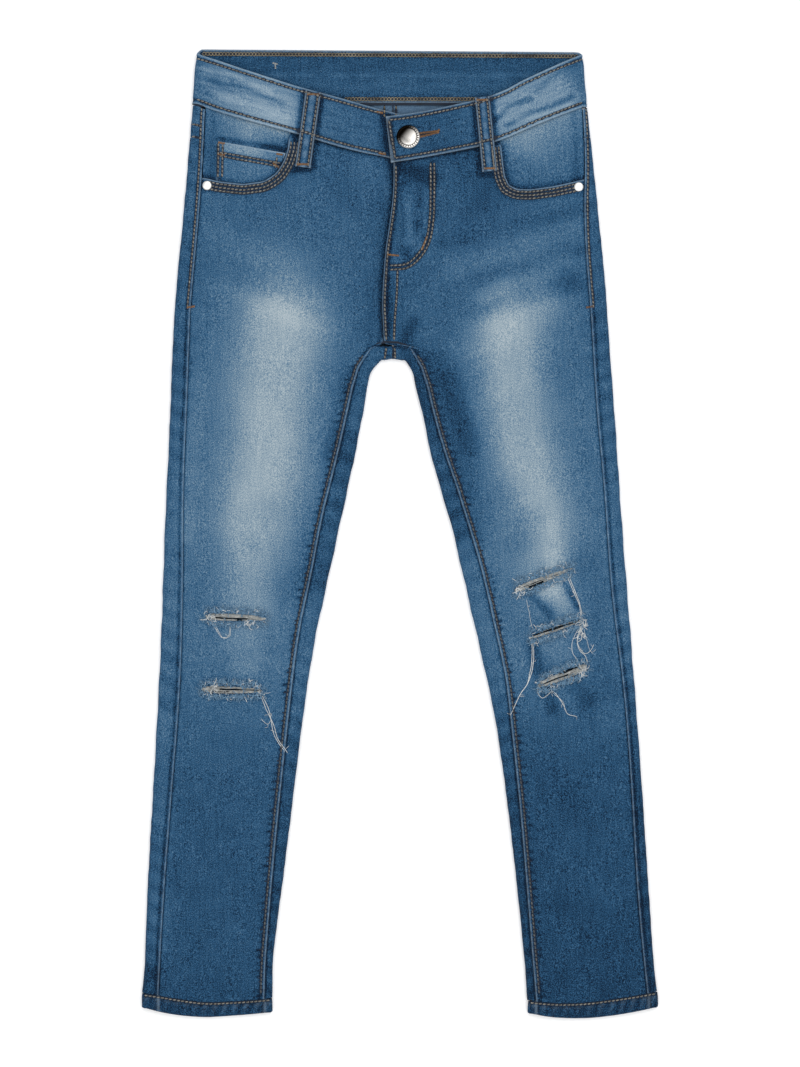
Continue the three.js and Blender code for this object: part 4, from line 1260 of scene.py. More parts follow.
@dataclass
class FoldedBack:
    """A back piece: a flat underside whose sides fold over on to the front as far as the seams."""

    pattern: Pattern
    drape: Drape
    wash: Wash
    ply: float = 0.9
    lip_columns: int = 13
    fold_steps: int = 9
    row_pitch: float = 2.2

    def side_rows(
        self, edges: Array, seams: Array, turn: int, ridge: bool
    ) -> tuple[Array, Array, Array, Array]:
        """Rows across a folded side, from the seam over the fold to its foot.

        Args:
            edges: Level places on the folded edge, one for each row.
            seams: Level places on the seam.
            turn: 1 where the cloth is on the left of the way that the rows run, -1 on the right.
            ridge: Whether the seam stands up as a worn ridge on this piece.

        Returns:
            Outer places, inner places, tone and wear.
        """
        ahead = np.gradient(edges, axis=0)
        ahead /= np.linalg.norm(ahead, axis=1)[:, None]
        inward = turn * np.stack([-ahead[:, 1], ahead[:, 0]], axis=1)
        run = np.concatenate([[0], np.cumsum(np.linalg.norm(np.diff(edges, axis=0), axis=1))])
        wobble = 0.10 * ripple(run, 13.0, turn + edges[0, 0] / 50) + 0.22 * ripple(run, 37.0, turn)
        edges = edges + inward * wobble[:, None]
        crest = edges + inward * 3.0
        height = self.drape.face(crest[:, 0], crest[:, 1])
        radius = height / 2
        top = edges + inward * radius[:, None]
        t = np.linspace(0, 1, self.lip_columns)[None, :] ** 1.5
        lip = mix(seams[:, None, :], top[:, None, :], t[..., None])
        away = np.linalg.norm(lip - seams[:, None, :], axis=-1)
        lip_z = self.drape.face(lip[..., 0], lip[..., 1])
        lip_z = mix(lip_z, height[:, None], smooth(t, 0.4, 1.0))
        wave = ripple(run[:, None] + 0.8 * away, 7.0, turn + 1.5)
        lip_z = lip_z + 0.16 * np.exp(-away / 5) * wave
        lip_z = lip_z + (0.45 * bell(away - 0.9, 0.9) if ridge else -0.45 * bell(away, 0.9))
        angle = np.linspace(0, math.pi, self.fold_steps + 1)[1:][None, :]

        def round_fold(shrink: float) -> Array:
            """Places round the fold, shrunk inwards by a thickness."""
            r = radius[:, None] - shrink
            inset = radius[:, None] - r * np.sin(angle)
            level = edges[:, None, :] + inward[:, None, :] * inset[..., None]
            return np.concatenate([level, (radius[:, None] + r * np.cos(angle))[..., None]], axis=-1)

        outer = np.concatenate([np.concatenate([lip, lip_z[..., None]], axis=-1), round_fold(0)], axis=1)
        inner_lip = np.concatenate([lip, (lip_z - self.ply)[..., None]], axis=-1)
        inner = np.concatenate([inner_lip, round_fold(self.ply)], axis=1)
        tone = self.wash.tone(outer[..., 0], outer[..., 1]) - 0.03
        all_away = np.concatenate([away, away[:, -1:] + 3.0 * angle], axis=1)
        # darker at the stitch row of a ridged seam and at a plain seam's join: painted shade
        tone = tone - 0.22 * bell(all_away - (2.4 if ridge else 0.0), 1.1)
        tone = tone + 0.055 * ripple(run[:, None] + 0.5 * all_away, 15.0, turn + 1.5)
        # a little darker partway round the fold: painted shade on its turning edge
        tone = tone - 0.05 * bell(all_away - away[:, -1:] - 3.0, 3.0)
        worn = 0.22 + 0.12 * ripple(run, 11.0, turn + 4)[:, None]
        wear = (worn if ridge else 0.0) * bell(all_away - 0.5, 0.45)
        return outer, inner, np.clip(tone, 0, 1), np.clip(wear + 0 * tone, 0, 1)

    def outer_side(self, start: float, end: float) -> tuple[Array, Array]:
        """Edge and seam places down the outer side; the seam's ends follow the band and the hem."""
        ys = np.linspace(start, end, max(int(abs(end - start) / self.row_pitch), 2))
        pattern, gap = self.pattern, self.pattern.side.value * self.pattern.seam_gap
        seam_x, edge_x = pattern.outseam(ys) + gap, pattern.outer(ys)
        hem_slope = pattern.hem_top(seam_x) - pattern.hem_top(edge_x)
        band_slope = pattern.band_foot(seam_x) - pattern.band_foot(edge_x)
        seam_y = ys + hem_slope * bell(ys + 331.0, 20) + band_slope * bell(ys - 310.0, 12)
        return np.stack([edge_x, ys], axis=1), np.stack([seam_x, seam_y], axis=1)

    def inner_side(self, start: float) -> tuple[Array, Array]:
        """Edge and seam places up the inner side and round the top of the crotch."""
        sign, pattern = self.pattern.side.value, self.pattern
        gap = -sign * pattern.seam_gap
        leg = np.linspace(start, 92.0, int((92.0 - start) / self.row_pitch))
        hem_slope = pattern.hem_top(pattern.inseam(leg)) - pattern.hem_top(pattern.inner(leg))
        leg_seam = leg + hem_slope * bell(leg + 335.0, 20)
        back = Section(f"back_{pattern.side.label}")
        centre = -5.0 + sign * 0.15
        arch_x = [centre + sign * step for step in (9.0, 6.0, 3.0, 0.2)]
        arch_edge = [(float(pattern.inner(104.0)), 104.0), (float(pattern.inner(104.0)) - sign * 2.6, 115.5)]
        arch_edge += [(x, back.span(0, x)[0]) for x in arch_x]
        seam_end = float(pattern.inseam(133.0))
        arch_seam = [(float(pattern.inseam(y)), y) for y in (104.0, 119.5)]
        arch_seam += [(mix(seam_end, centre, t), 134.6) for t in (0.0, 0.3, 0.65, 1.0)]
        t = np.arange(len(arch_edge), dtype=float)
        fine = np.linspace(0, len(arch_edge) - 1, 34)
        edge = np.stack([SmoothLine(zip(t, [p[k] for p in arch_edge]))(fine) for k in (0, 1)], axis=1)
        seam = np.stack([SmoothLine(zip(t, [p[k] for p in arch_seam]))(fine) for k in (0, 1)], axis=1)
        edges = np.concatenate([np.stack([pattern.inner(leg), leg], axis=1), edge])
        seams = np.concatenate([np.stack([pattern.inseam(leg_seam) + gap, leg_seam], axis=1), seam])
        return edges, seams

    def build_panel(self, wardrobe: Wardrobe) -> bpy.types.Object:
        """Makes and dresses the back panel.

        Args:
            wardrobe: The finishes.

        Returns:
            The panel.
        """
        pattern, sign = self.pattern, self.pattern.side.value
        shell = Shell(f"back_panel_{pattern.side.label}")
        hem_outer = float(pattern.hem_top(pattern.outer(-332.0))) + 0.2
        hem_inner = float(pattern.hem_top(pattern.inner(-334.0))) + 0.2
        turn = -sign
        first = shell.grid(*self.side_rows(*self.outer_side(284.6, hem_outer), turn, True))
        second = shell.grid(*self.side_rows(*self.inner_side(hem_inner), turn, False))
        xs = np.linspace(pattern.outer(-332.0) - sign * 12, pattern.inner(-334.0) + sign * 12, 7)
        hem = self.floor_points(shell, [(float(x), float(pattern.hem_top(x)) + 0.2) for x in xs])
        centre = -5.0 + sign * 0.15
        top = self.floor_points(shell, [(centre, 180.0), (centre, 261.8)])
        shell.polygon([*first[:, -1], *hem, *second[:, -1], *top])
        panel = shell.build()
        wardrobe.dress(panel, Slot.DENIM, [f"back_{pattern.side.label}"])
        wardrobe.declare(panel)
        return panel

    def build_yoke(self, wardrobe: Wardrobe) -> bpy.types.Object:
        """Makes and dresses the yoke above the back panel.

        Args:
            wardrobe: The finishes.

        Returns:
            The yoke.
        """
        pattern, sign = self.pattern, self.pattern.side.value
        shell = Shell(f"yoke_panel_{pattern.side.label}")
        band_x = float(pattern.outer(326.0)) - sign * 4.0
        top = float(pattern.band_foot(band_x)) - 0.4
        rows = shell.grid(*self.side_rows(*self.outer_side(top, 285.0), -sign, True))
        centre = -5.0 + sign * 0.15
        rest = self.floor_points(shell, [(centre, 262.1), (centre, 309.2), (band_x - sign * 34, 309.2)])
        shell.polygon([*rows[:, -1], *rest])
        piece = shell.build()
        wardrobe.dress(piece, Slot.DENIM, [f"yoke_{pattern.side.label}"])
        wardrobe.declare(piece)
        return piece

    def floor_points(self, shell: Shell, places: Sequence[Point]) -> list[int]:
        """Adds points of the flat underside and returns their numbers."""
        level = np.array(places, float)
        outer = stacked(level[:, 0], level[:, 1], 0.0)
        inner = stacked(level[:, 0], level[:, 1], self.ply)
        tone = np.full(len(level), 0.34)
        return list(shell.points(outer, inner, tone, np.zeros(len(level))))


@dataclass
class Waistband:
    """The doubled waistband: under end, right front, back, left front and the upper end over the button."""

    right: Pattern
    left: Pattern
    wash: Wash
    thick: float = 2.0
    height: float = 6.6
    head: float = 348.2
    head_left: float = 346.2
    lean: float = 1.7
    foot: float = 309.6
    pitch: float = 1.7
    across: int = 30

    def build(self, wardrobe: Wardrobe) -> bpy.types.Object:
        """Makes and dresses the waistband.

        Args:
            wardrobe: The finishes.

        Returns:
            The waistband.
        """
        stations: list[tuple[Point, Point, float, float]] = []

        def front(pattern: Pattern, xs: Array, drop: Callable[[float], float], skew: float = 0.0) -> None:
            """Adds the flat sections of one front, the upper end cut on a slant."""
            for x in xs:
                foot, head = float(pattern.band_foot(x)), float(pattern.band_head(x))
                slant = skew * float(1 - smooth(x, -7, 24))
                stations.append(((x, foot), (x - slant, head), 0.0, self.height - drop(float(x))))

        radius = self.height / 2
        right_fold = float(self.right.band.start[:, 0].min()) + radius + 0.1
        left_fold = float(self.left.band.start[:, 0].max()) - radius - 0.1
        under = self.thick + 0.6
        under_xs = np.arange(21.0, right_fold, -self.pitch)
        front(self.right, under_xs, lambda x: under * float(smooth(x, -34, -14)))
        self.fold(stations, self.right, right_fold, -1)
        for x in np.arange(right_fold, left_fold, self.pitch * 2):
            near = min(abs(x - right_fold), abs(x - left_fold))
            side, fold = (self.right, right_fold) if x < 0 else (self.left, left_fold)
            settled = float(smooth(near, 0, 26))
            foot = mix(float(side.band_foot(fold)), self.foot, settled)
            head = mix(self.head, self.head_left, (x - right_fold) / (left_fold - right_fold))
            stations.append(((x, foot), (x, head), math.pi, 0.0))
        self.fold(stations, self.left, left_fold, 1)
        front(self.left, np.arange(left_fold, -7.0, -self.pitch), lambda x: 0.0, 3.8)
        band = self.sew(stations)
        wardrobe.dress(band, Slot.DENIM, ["waistband"])
        middles = np.array([(np.array(station[0]) + np.array(station[1])) / 2 for station in stations])
        run = float(np.linalg.norm(np.diff(middles, axis=0), axis=1).sum())
        depth = float(np.mean([math.dist(station[0], station[1]) for station in stations]))
        wardrobe.declare(band, (run, depth))
        return band

    def fold(self, stations: list, pattern: Pattern, centre: float, direction: int) -> None:
        """Adds the sections round one folded side."""
        radius = self.height / 2
        foot, head = float(pattern.band_foot(centre)), float(pattern.band_head(centre))
        angles = np.linspace(0, math.pi, 12)[1:-1]
        if direction > 0:
            angles = angles[::-1]
        for angle in angles:
            x = centre + direction * radius * math.sin(angle)
            z = radius + radius * math.cos(angle)
            top = mix(head, self.head if direction < 0 else self.head_left, angle / math.pi)
            stations.append(((x, foot), (x, top), -direction * float(angle), z))

    def sew(self, stations: list) -> bpy.types.Object:
        """Turns the sections into the band's closed mesh.

        Args:
            stations: Foot, head, turn of the outward direction and height of each section.

        Returns:
            The band.
        """
        foot = np.array([s[0] for s in stations], float)
        head = np.array([s[1] for s in stations], float)
        for edge_x in (foot[:, 0].min(), foot[:, 0].max()):
            near = self.lean * np.sign(edge_x) * (1 - smooth(np.abs(foot[:, 0] - edge_x), 6, 40))
            foot[:, 0] += near
            head[:, 0] -= near
        turn = np.array([s[2] for s in stations], float)
        level = np.array([s[3] for s in stations], float)
        run = np.concatenate([[0], np.cumsum(np.hypot(*np.diff((foot + head) / 2, axis=0).T))])
        t = np.linspace(0, 1, self.across)
        t = t - 0.5 / (2 * math.pi) * np.sin(2 * math.pi * t)
        width = np.linalg.norm(head - foot, axis=1)[:, None]
        low, high = t[None, :] * width, (1 - t[None, :]) * width
        edge = np.minimum(low, high)
        normal = np.stack([-np.sin(turn), np.zeros_like(turn), np.cos(turn)], axis=1)
        puff = 0.22 * smooth(edge, 3.4, 9.0) - 0.34 * bell(edge - 3.0, 0.9) - rolled(edge, 1.0)
        rope = 0.26 * bell(edge - 2.0, 2.2) * ripple(run[:, None] + 0.8 * low, 6.2, 3)
        soft = 0.22 * ripple(run[:, None] * 0.9 - 0.7 * low, 23.0, 8) * smooth(edge, 4, 10)
        end = np.minimum(run, run[-1] - run)[:, None]
        puff = puff + rope + soft - rolled(end, 1.0) - 0.3 * bell(end - 3.0, 0.9)
        resting = (turn > 3.0)[:, None]
        puff = np.where(resting, np.minimum(puff, 0.0), puff)
        spread = mix(foot[:, None, :], head[:, None, :], t[None, :, None])
        place = stacked(spread[..., 0], spread[..., 1], level[:, None])
        outer = place + normal[:, None, :] * puff[..., None]
        inner_puff = -self.thick + 0.7 * rolled(edge, 0.9) + 0.12 * smooth(edge, 3.4, 9.0)
        inner = place + normal[:, None, :] * (inner_puff + 0.3 * bell(edge - 3.2, 0.8))[..., None]
        tone = self.wash.tone(outer[..., 0], outer[..., 1]) - 0.02
        under = (np.arange(len(run)) < 22)[:, None]
        streak = ripple(low * 1.0 + 0.02 * run[:, None], 6.4, 2) * ripple(run[:, None] + 2 * low, 47.0, 6)
        crossed = 0.7 * ripple(low - 0.05 * run[:, None], 3.9, 5)
        streak = streak + crossed * ripple(run[:, None] - low, 29.0, 2)
        tone = tone + 0.07 * streak * smooth(edge, 3.5, 6.0)
        # darker at the stitch rows, and a little darker on the under end that lies beneath the other end:
        # painted shade
        tone = np.where(resting, 0.27, tone) - 0.30 * bell(edge - 3.0, 1.1) - 0.08 * under
        # darker at the stitch row near each end: painted shade
        tone = tone - 0.24 * bell(end - 3.2, 1.2)
        wear = 0.42 * bell(edge - 0.6, 0.5) + 0.75 * bell(end - 0.8, 0.8)
        wear = wear + 0.9 * np.clip(tone - 0.40, 0, 0.4)
        lining = 0.20 + 0.16 * bell(low - 20.0, 1.6) * (0.6 + 0.4 * ripple(run[:, None], 23.0, 1))
        # the inside face is darker at its stitch rows: painted shade
        lining = lining + 0.06 * bell(low - 12.0, 5.0) - 0.12 * bell(edge - 3.0, 2.0) + 0.03 * streak
        shell = Shell("waistband_piece", reverse=0.0)
        shell.grid(outer, inner, np.clip(tone, 0, 1), np.clip(wear, 0, 1), (), np.clip(lining, 0, 1))
        return shell.build()


@dataclass
class PocketParts:
    """What shows inside a pocket mouth: the facing and, on the right, the coin pocket."""

    panel: FrontPanel
    drape: Drape
    wash: Wash
    ply: float = 0.9

    def facing(self, wardrobe: Wardrobe) -> bpy.types.Object:
        """Makes and dresses the facing, which runs on under the front panel.

        Args:
            wardrobe: The finishes.

        Returns:
            The facing.
        """
        pattern, sign = self.panel.pattern, self.panel.pattern.side.value
        node = Section(f"pocket_facing_{pattern.side.label}")
        across = np.abs(node.start[:, 0])
        xs = sign * np.linspace(across.max() - 0.4, across.min() + 0.4, 44)
        foot = np.array([node.span(0, float(x))[0] for x in xs])
        top = pattern.band_foot(np.clip(xs, -144.4, 129.6)) + 1.2
        u = np.linspace(0, 1, 36)[:, None]
        x = xs[None, :] + 0 * u
        y = mix(foot[None, :], top[None, :], u)
        x = np.where(sign * (x - pattern.outseam(y)) > -0.35, pattern.outseam(y) - sign * 0.35, x)
        z = self.drape.base(x, y) - 1.25
        z += 0.25 * ripple(x * 0.8 + y * 0.5, 26.0, sign)
        to_out = np.abs(x - pattern.outseam(y))
        z += 0.5 * (1 - smooth(to_out, 2.0, 6.0)) - 0.3 * rolled(to_out, 0.8)
        z -= 0.3 * (1 - smooth(top[None, :] - y, 0.6, 3.0))
        # darker at the outseam's join: painted shade; and darker in a band about 6.5 mm in from it
        tone = self.wash.tone(x, y) - 0.20 * bell(to_out, 0.9) - 0.10 * bell(to_out - 6.5, 2.6)
        mouth = self.panel.mouth_distance(x, y)
        # darker under the edge of the pocket mouth: painted shadow
        tone = tone - 0.24 * bell(mouth, 3.0)
        wear = np.zeros_like(to_out)
        shell = Shell(f"pocket_facing_piece_{pattern.side.label}")
        shell.grid(stacked(x, y, z), stacked(x, y, z - self.ply), tone, wear)
        piece = shell.build()
        wardrobe.dress(piece, Slot.DENIM, [f"pocket_facing_{pattern.side.label}"])
        wardrobe.declare(piece)
        return piece

    def coin_pocket(self, wardrobe: Wardrobe) -> bpy.types.Object:
        """Makes and dresses the coin pocket, whose top edge is a turned hem.

        Args:
            wardrobe: The finishes.

        Returns:
            The coin pocket.
        """
        node = Section("coin_pocket")
        xs = np.linspace(node.start[:, 0].min() + 0.1, node.start[:, 0].max() - 0.1, 34)
        spans = np.array([node.span(0, float(x)) for x in xs])
        foot, top = spans[:, 0], spans[:, 1]
        u = np.linspace(0, 1, 26)[:, None]
        x = xs[None, :] + 0 * u
        y = mix(foot[None, :] - 0.2, top[None, :], u)
        from_top = (281.9 - (x + 130.6) * 0.175) - y
        from_side = x + 131.9
        edge = np.minimum(from_top, from_side)
        z = self.drape.base(x, y) - 0.1 - rolled(edge, 0.8) + 0.4 * (1 - smooth(from_top, 9.0, 10.6))
        z += 0.2 * (1 - smooth(from_side, 4.0, 5.4)) + 0.12 * ripple(x, 9.0, 2)
        for row in (8.0, 10.4):
            z -= 0.2 * bell(from_top - row, 0.7)
        mouth = self.panel.mouth_distance(x, y)
        z -= 0.5 * (1 - smooth(mouth, 0.4, 2.6))
        # darker under the edge of the pocket mouth and between the stitch rows below the top hem: painted
        # shade
        tone = self.wash.tone(x, y) - 0.20 * bell(mouth, 2.6) - 0.24 * bell(from_top - 9.2, 2.0)
        tone = tone + 0.15 * (1 - smooth(from_top, 6.0, 7.6)) + 0.05
        # darker along the side's stitch rows: painted shade
        tone = tone - 0.16 * bell(from_side - 2.4, 1.4)
        wear = 0.85 * bell(edge - 0.4, 0.5)
        shell = Shell("coin_pocket_piece")
        shell.grid(stacked(x, y, z), stacked(x, y, z - self.ply), np.clip(tone, 0, 1), np.clip(wear, 0, 1))
        piece = shell.build()
        wardrobe.dress(piece, Slot.DENIM, ["coin_pocket"])
        wardrobe.declare(piece)
        return piece


@dataclass
class FlyFacing:
    """The facing behind the fly stitching."""

    drape: Drape
    ply: float = 0.8

    def build(self, wardrobe: Wardrobe) -> bpy.types.Object:
        """Makes and dresses the facing.

        Args:
            wardrobe: The finishes.

        Returns:
            The facing.
        """
        node = Section("fly_facing")
        ys = np.linspace(188.2, 264.2, 32)
        spans = np.array([node.span(1, float(y)) for y in ys])
        t = np.linspace(0, 1, 16)[None, :]
        x = mix(spans[:, :1] + 0.3, spans[:, 1:], t)
        y = ys[:, None] + 0 * x
        z = self.drape.base(x, y) - 1.45
        shell = Shell("fly_facing_piece")
        shell.grid(stacked(x, y, z), stacked(x, y, z - self.ply), np.full(x.shape, 0.3), np.zeros(x.shape))
        piece = shell.build()
        wardrobe.dress(piece, Slot.DENIM, ["fly_facing"])
        wardrobe.declare(piece)
        return piece


@dataclass
class Hem:
    """The turned hem of a leg: a flattened ring of cloth."""

    pattern: Pattern
    drape: Drape
    wash: Wash
    thick: float = 2.0
    height: float = 6.2
    across: int = 14

    def build(self, wardrobe: Wardrobe) -> bpy.types.Object:
        """Makes and dresses the hem.

        Args:
            wardrobe: The finishes.

        Returns:
            The hem.
        """
        pattern = self.pattern
        ends = pattern.hem_ends
        radius = self.height / 2
        low, high = ends[0] + radius, ends[1] - radius
        xs = np.arange(low, high, 1.5)
        top_z = self.drape.base(xs, np.full(xs.shape, -336.0)) + 0.2
        ring = [(x, z, 0.0) for x, z in zip(xs, top_z)]
        angles = np.linspace(0, math.pi, 11)[1:-1]
        ring += [(high + radius * math.sin(a), radius + radius * math.cos(a), a) for a in angles]
        ring += [(x, 0.0, math.pi) for x in xs[::-2]]
        ring += [(low - radius * math.sin(a), radius + radius * math.cos(a), -a) for a in angles[::-1]]
        ring.append(ring[0])
        x, z, turn = (np.array(v) for v in zip(*ring))
        run = np.concatenate([[0], np.cumsum(np.hypot(np.diff(x), np.diff(z)))])
        level_x = np.clip(x, low, high)
        foot, top = pattern.hem_foot(level_x), pattern.hem_top(level_x)
        t = np.linspace(0, 1, self.across)[None, :]
        y = mix(foot[:, None], top[:, None], t)
        up = t * (top - foot)[:, None]
        rope = ripple(run[:, None] - 0.35 * up, 7.6, pattern.side.value)
        puff = 0.22 * rope * bell(up - 6.0, 5.0) - rolled(up, 1.2)
        puff = puff - 0.35 * bell((1 - t) * (top - foot)[:, None], 1.6)
        puff = np.where((turn > 3.0)[:, None], np.minimum(puff, 0), puff)
        normal = np.stack([np.sin(turn), np.zeros_like(turn), np.cos(turn)], axis=1)
        place = stacked(x[:, None], y, z[:, None])
        outer = place + normal[:, None, :] * puff[..., None]
        inner = place - normal[:, None, :] * (self.thick - 0.5 * rolled(up, 1.0))[..., None]
        down = (1 - t) * (top - foot)[:, None]
        tone = self.wash.tone(outer[..., 0], outer[..., 1]) - 0.06 + 0.04 * rope
        # darker along the stitch row near the hem's top: painted shade
        tone = tone - 0.26 * bell(down - 1.2, 1.4)
        wear = 0.05 * np.clip(rope, 0, 1) * bell(up - 5.0, 3.0)
        wear = wear + 0.08 * bell(down - 3.2, 0.9) * np.clip(0.5 + rope, 0, 1)
        facing_up = (np.abs(turn) < 0.6)[:, None]
        for seam_x in (float(pattern.outseam(-336.0)), float(pattern.inseam(-336.0))):
            wear = wear + 0.26 * facing_up * bell(outer[..., 0] - seam_x, 0.7)
            # darker just beside each seam: painted shade
            tone = tone - 0.20 * facing_up * bell(outer[..., 0] - seam_x - pattern.side.value * 1.6, 0.8)
        shell = Shell(f"hem_piece_{pattern.side.label}")
        shell.grid(outer, inner, np.clip(tone, 0, 1), np.clip(wear, 0, 1))
        piece = shell.build()
        wardrobe.dress(piece, Slot.DENIM, [f"hem_{pattern.side.label}"])
        wardrobe.declare(piece)
        return piece


@dataclass
class BeltLoop:
    """A folded strap over the waistband, tacked at both ends."""

    side: Side
    pattern: Pattern
    drape: Drape
    top: Point
    foot: Point
    width: float
    thick: float = 1.3
    band_height: float = 6.6

    def build(self, wardrobe: Wardrobe) -> bpy.types.Object:
        """Makes and dresses the loop.

        Args:
            wardrobe: The finishes.

        Returns:
            The loop.
        """
        (ax, ay), (bx, by) = self.top, self.foot
        length = math.hypot(bx - ax, by - ay)
        across = np.array([-(by - ay), bx - ax]) / length
        t = np.linspace(0, 1, 46)
        s = np.linspace(-0.5, 0.5, 15)
        mid_x, mid_y = mix(ax, bx, t), mix(ay, by, t)
        x = mid_x[:, None] + across[0] * self.width * s[None, :]
        y = mid_y[:, None] + across[1] * self.width * s[None, :]
        on_band = smooth(mid_y - self.pattern.band_foot(mid_x), -11, -3)[:, None]
        under = mix(self.drape.base(x, y) + 0.5, self.band_height + 0.35, on_band)
        edge = (0.5 - np.abs(s))[None, :] * self.width
        end = (np.minimum(t, 1 - t) * length)[:, None]
        z = under + self.thick - rolled(edge, 0.9) - 0.25 * bell(edge - 2.2, 0.8)
        z += 0.25 * smooth(edge, 2.6, 4.4) - 0.35 * bell(end - 2.0, 1.2) - rolled(end, 0.8)
        z += 0.10 * ripple(t[:, None] * length, 7.0, 1)
        # darker at the stitch rows and along the very edges: painted shade
        tone = 0.24 - 0.24 * bell(edge - 2.2, 1.2) - 0.2 * bell(edge, 0.5)
        tone = tone + 0.11 * smooth(edge, 3.2, 4.8) + np.zeros_like(t)[:, None]
        wear = 0.42 * bell(edge - 0.8, 0.4) + 0.4 * bell(end - 0.6, 0.5)
        wear = wear + 0.14 * smooth(edge, 3.4, 5.0) * np.clip(0.6 + ripple(t[:, None] * length, 8.0, 4), 0, 1)
        shell = Shell(f"belt_loop_piece_{self.side.label}")
        shell.grid(stacked(x, y, z), stacked(x, y, under), np.clip(tone, 0, 1), np.clip(wear, 0, 1))
        piece = shell.build()
        wardrobe.dress(piece, Slot.DENIM, [f"belt_loop_{self.side.label}"])
        wardrobe.declare(piece, (self.width, length + 2))
        return piece


# ---------------------------------------------------------------- thread


@dataclass
class Surface:
    """Finds the top of the cloth under a level place."""

    pieces: Sequence[bpy.types.Object]

    def __post_init__(self) -> None:
        """Joins the pieces' faces in one search tree."""
        places: list[tuple[float, float, float]] = []
        faces: list[tuple[int, ...]] = []
        for piece in self.pieces:
            start = len(places)
            places += [tuple(v.co) for v in piece.data.vertices]
            faces += [tuple(start + i for i in p.vertices) for p in piece.data.polygons]
        self.tree = BVHTree.FromPolygons(places, faces)

    def height(self, x: float, y: float, from_z: float = 12.0) -> float:
        """Height of the cloth under a place, seen from a height, in millimetres."""
        hit = self.tree.ray_cast(Vector((x * MM, y * MM, from_z * MM)), Vector((0, 0, -1)))[0]
        return hit.z / MM if hit else 0.0


@dataclass
class ThreadWork:
    """Collects short round threads and makes one mesh of them."""

    name: str
    slot: Slot
    sides: int = 5
    places: list[Array] = field(default_factory=list)
    faces: list[tuple[int, ...]] = field(default_factory=list)
    count: int = 0

    def strand(self, path: Array, radius: float, taper: float = 0.55, flat: float = 1.0) -> None:
        """Adds a thread along a path.

        Args:
            path: Places, one row each.
            radius: The thread's radius.
            taper: Radius of the ends as a share of the radius.
            flat: Height of the thread as a share of its width.
        """
        path = np.asarray(path, float)
        ahead = np.gradient(path, axis=0)
        ahead /= np.maximum(np.linalg.norm(ahead, axis=1), 1e-9)[:, None]
        side = np.cross(ahead, (0.0, 0.0, 1.0))
        size = np.linalg.norm(side, axis=1)
        side[size < 1e-6] = (1.0, 0.0, 0.0)
        side /= np.maximum(np.linalg.norm(side, axis=1), 1e-9)[:, None]
        up = np.cross(side, ahead)
        angle = np.linspace(0, 2 * math.pi, self.sides, endpoint=False)
        thick = np.full(len(path), radius)
        thick[[0, -1]] *= taper
        across = np.cos(angle)[None, :, None] * side[:, None, :]
        ring = across + np.sin(angle)[None, :, None] * up[:, None, :] * flat
        points = path[:, None, :] + ring * thick[:, None, None]
        rows, n = len(path), self.sides
        for j in range(rows - 1):
            for i in range(n):
                a, b = self.count + j * n + i, self.count + j * n + (i + 1) % n
                self.faces.append((a, b, b + n, a + n))
        self.faces.append(tuple(self.count + i for i in range(n)))
        self.faces.append(tuple(self.count + (rows - 1) * n + i for i in reversed(range(n))))
        self.places.append(points.reshape(-1, 3))
        self.count += rows * n

    def build(self, wardrobe: Wardrobe, finish: Optional[bpy.types.Material] = None) -> bpy.types.Object:
        """Makes and dresses the joined threads.

        Args:
            wardrobe: The finishes.
            finish: Their material, or None for the slot's own.

        Returns:
            The threads.
        """
        mesh = bpy.data.meshes.new(self.name)
        mesh.from_pydata((np.concatenate(self.places) * MM).tolist(), [], self.faces)
        piece = finish_mesh(mesh, 70.0)
        wardrobe.dress(piece, self.slot, (), finish)
        return piece


def resampled(path: Sequence[Point], pitch: float, curved: bool = True) -> Array:
    """Even places along a path.

    Args:
        path: The path's points.
        pitch: About how far apart the places are.
        curved: Whether the path is a smooth curve through the points.

    Returns:
        The places.
    """
    points = np.array(path, float)
    if curved and len(points) > 2:
        t = np.concatenate([[0], np.cumsum(np.hypot(*np.diff(points, axis=0).T))])
        fine = np.linspace(0, t[-1], max(int(t[-1]), 8))
        points = np.stack([SmoothLine(zip(t, points[:, k]))(fine) for k in (0, 1)], axis=1)
    run = np.concatenate([[0], np.cumsum(np.hypot(*np.diff(points, axis=0).T))])
    count = max(int(round(run[-1] / pitch)), 1) + 1
    even = np.linspace(0, run[-1], count)
    return np.stack([np.interp(even, run, points[:, k]) for k in (0, 1)], axis=1)


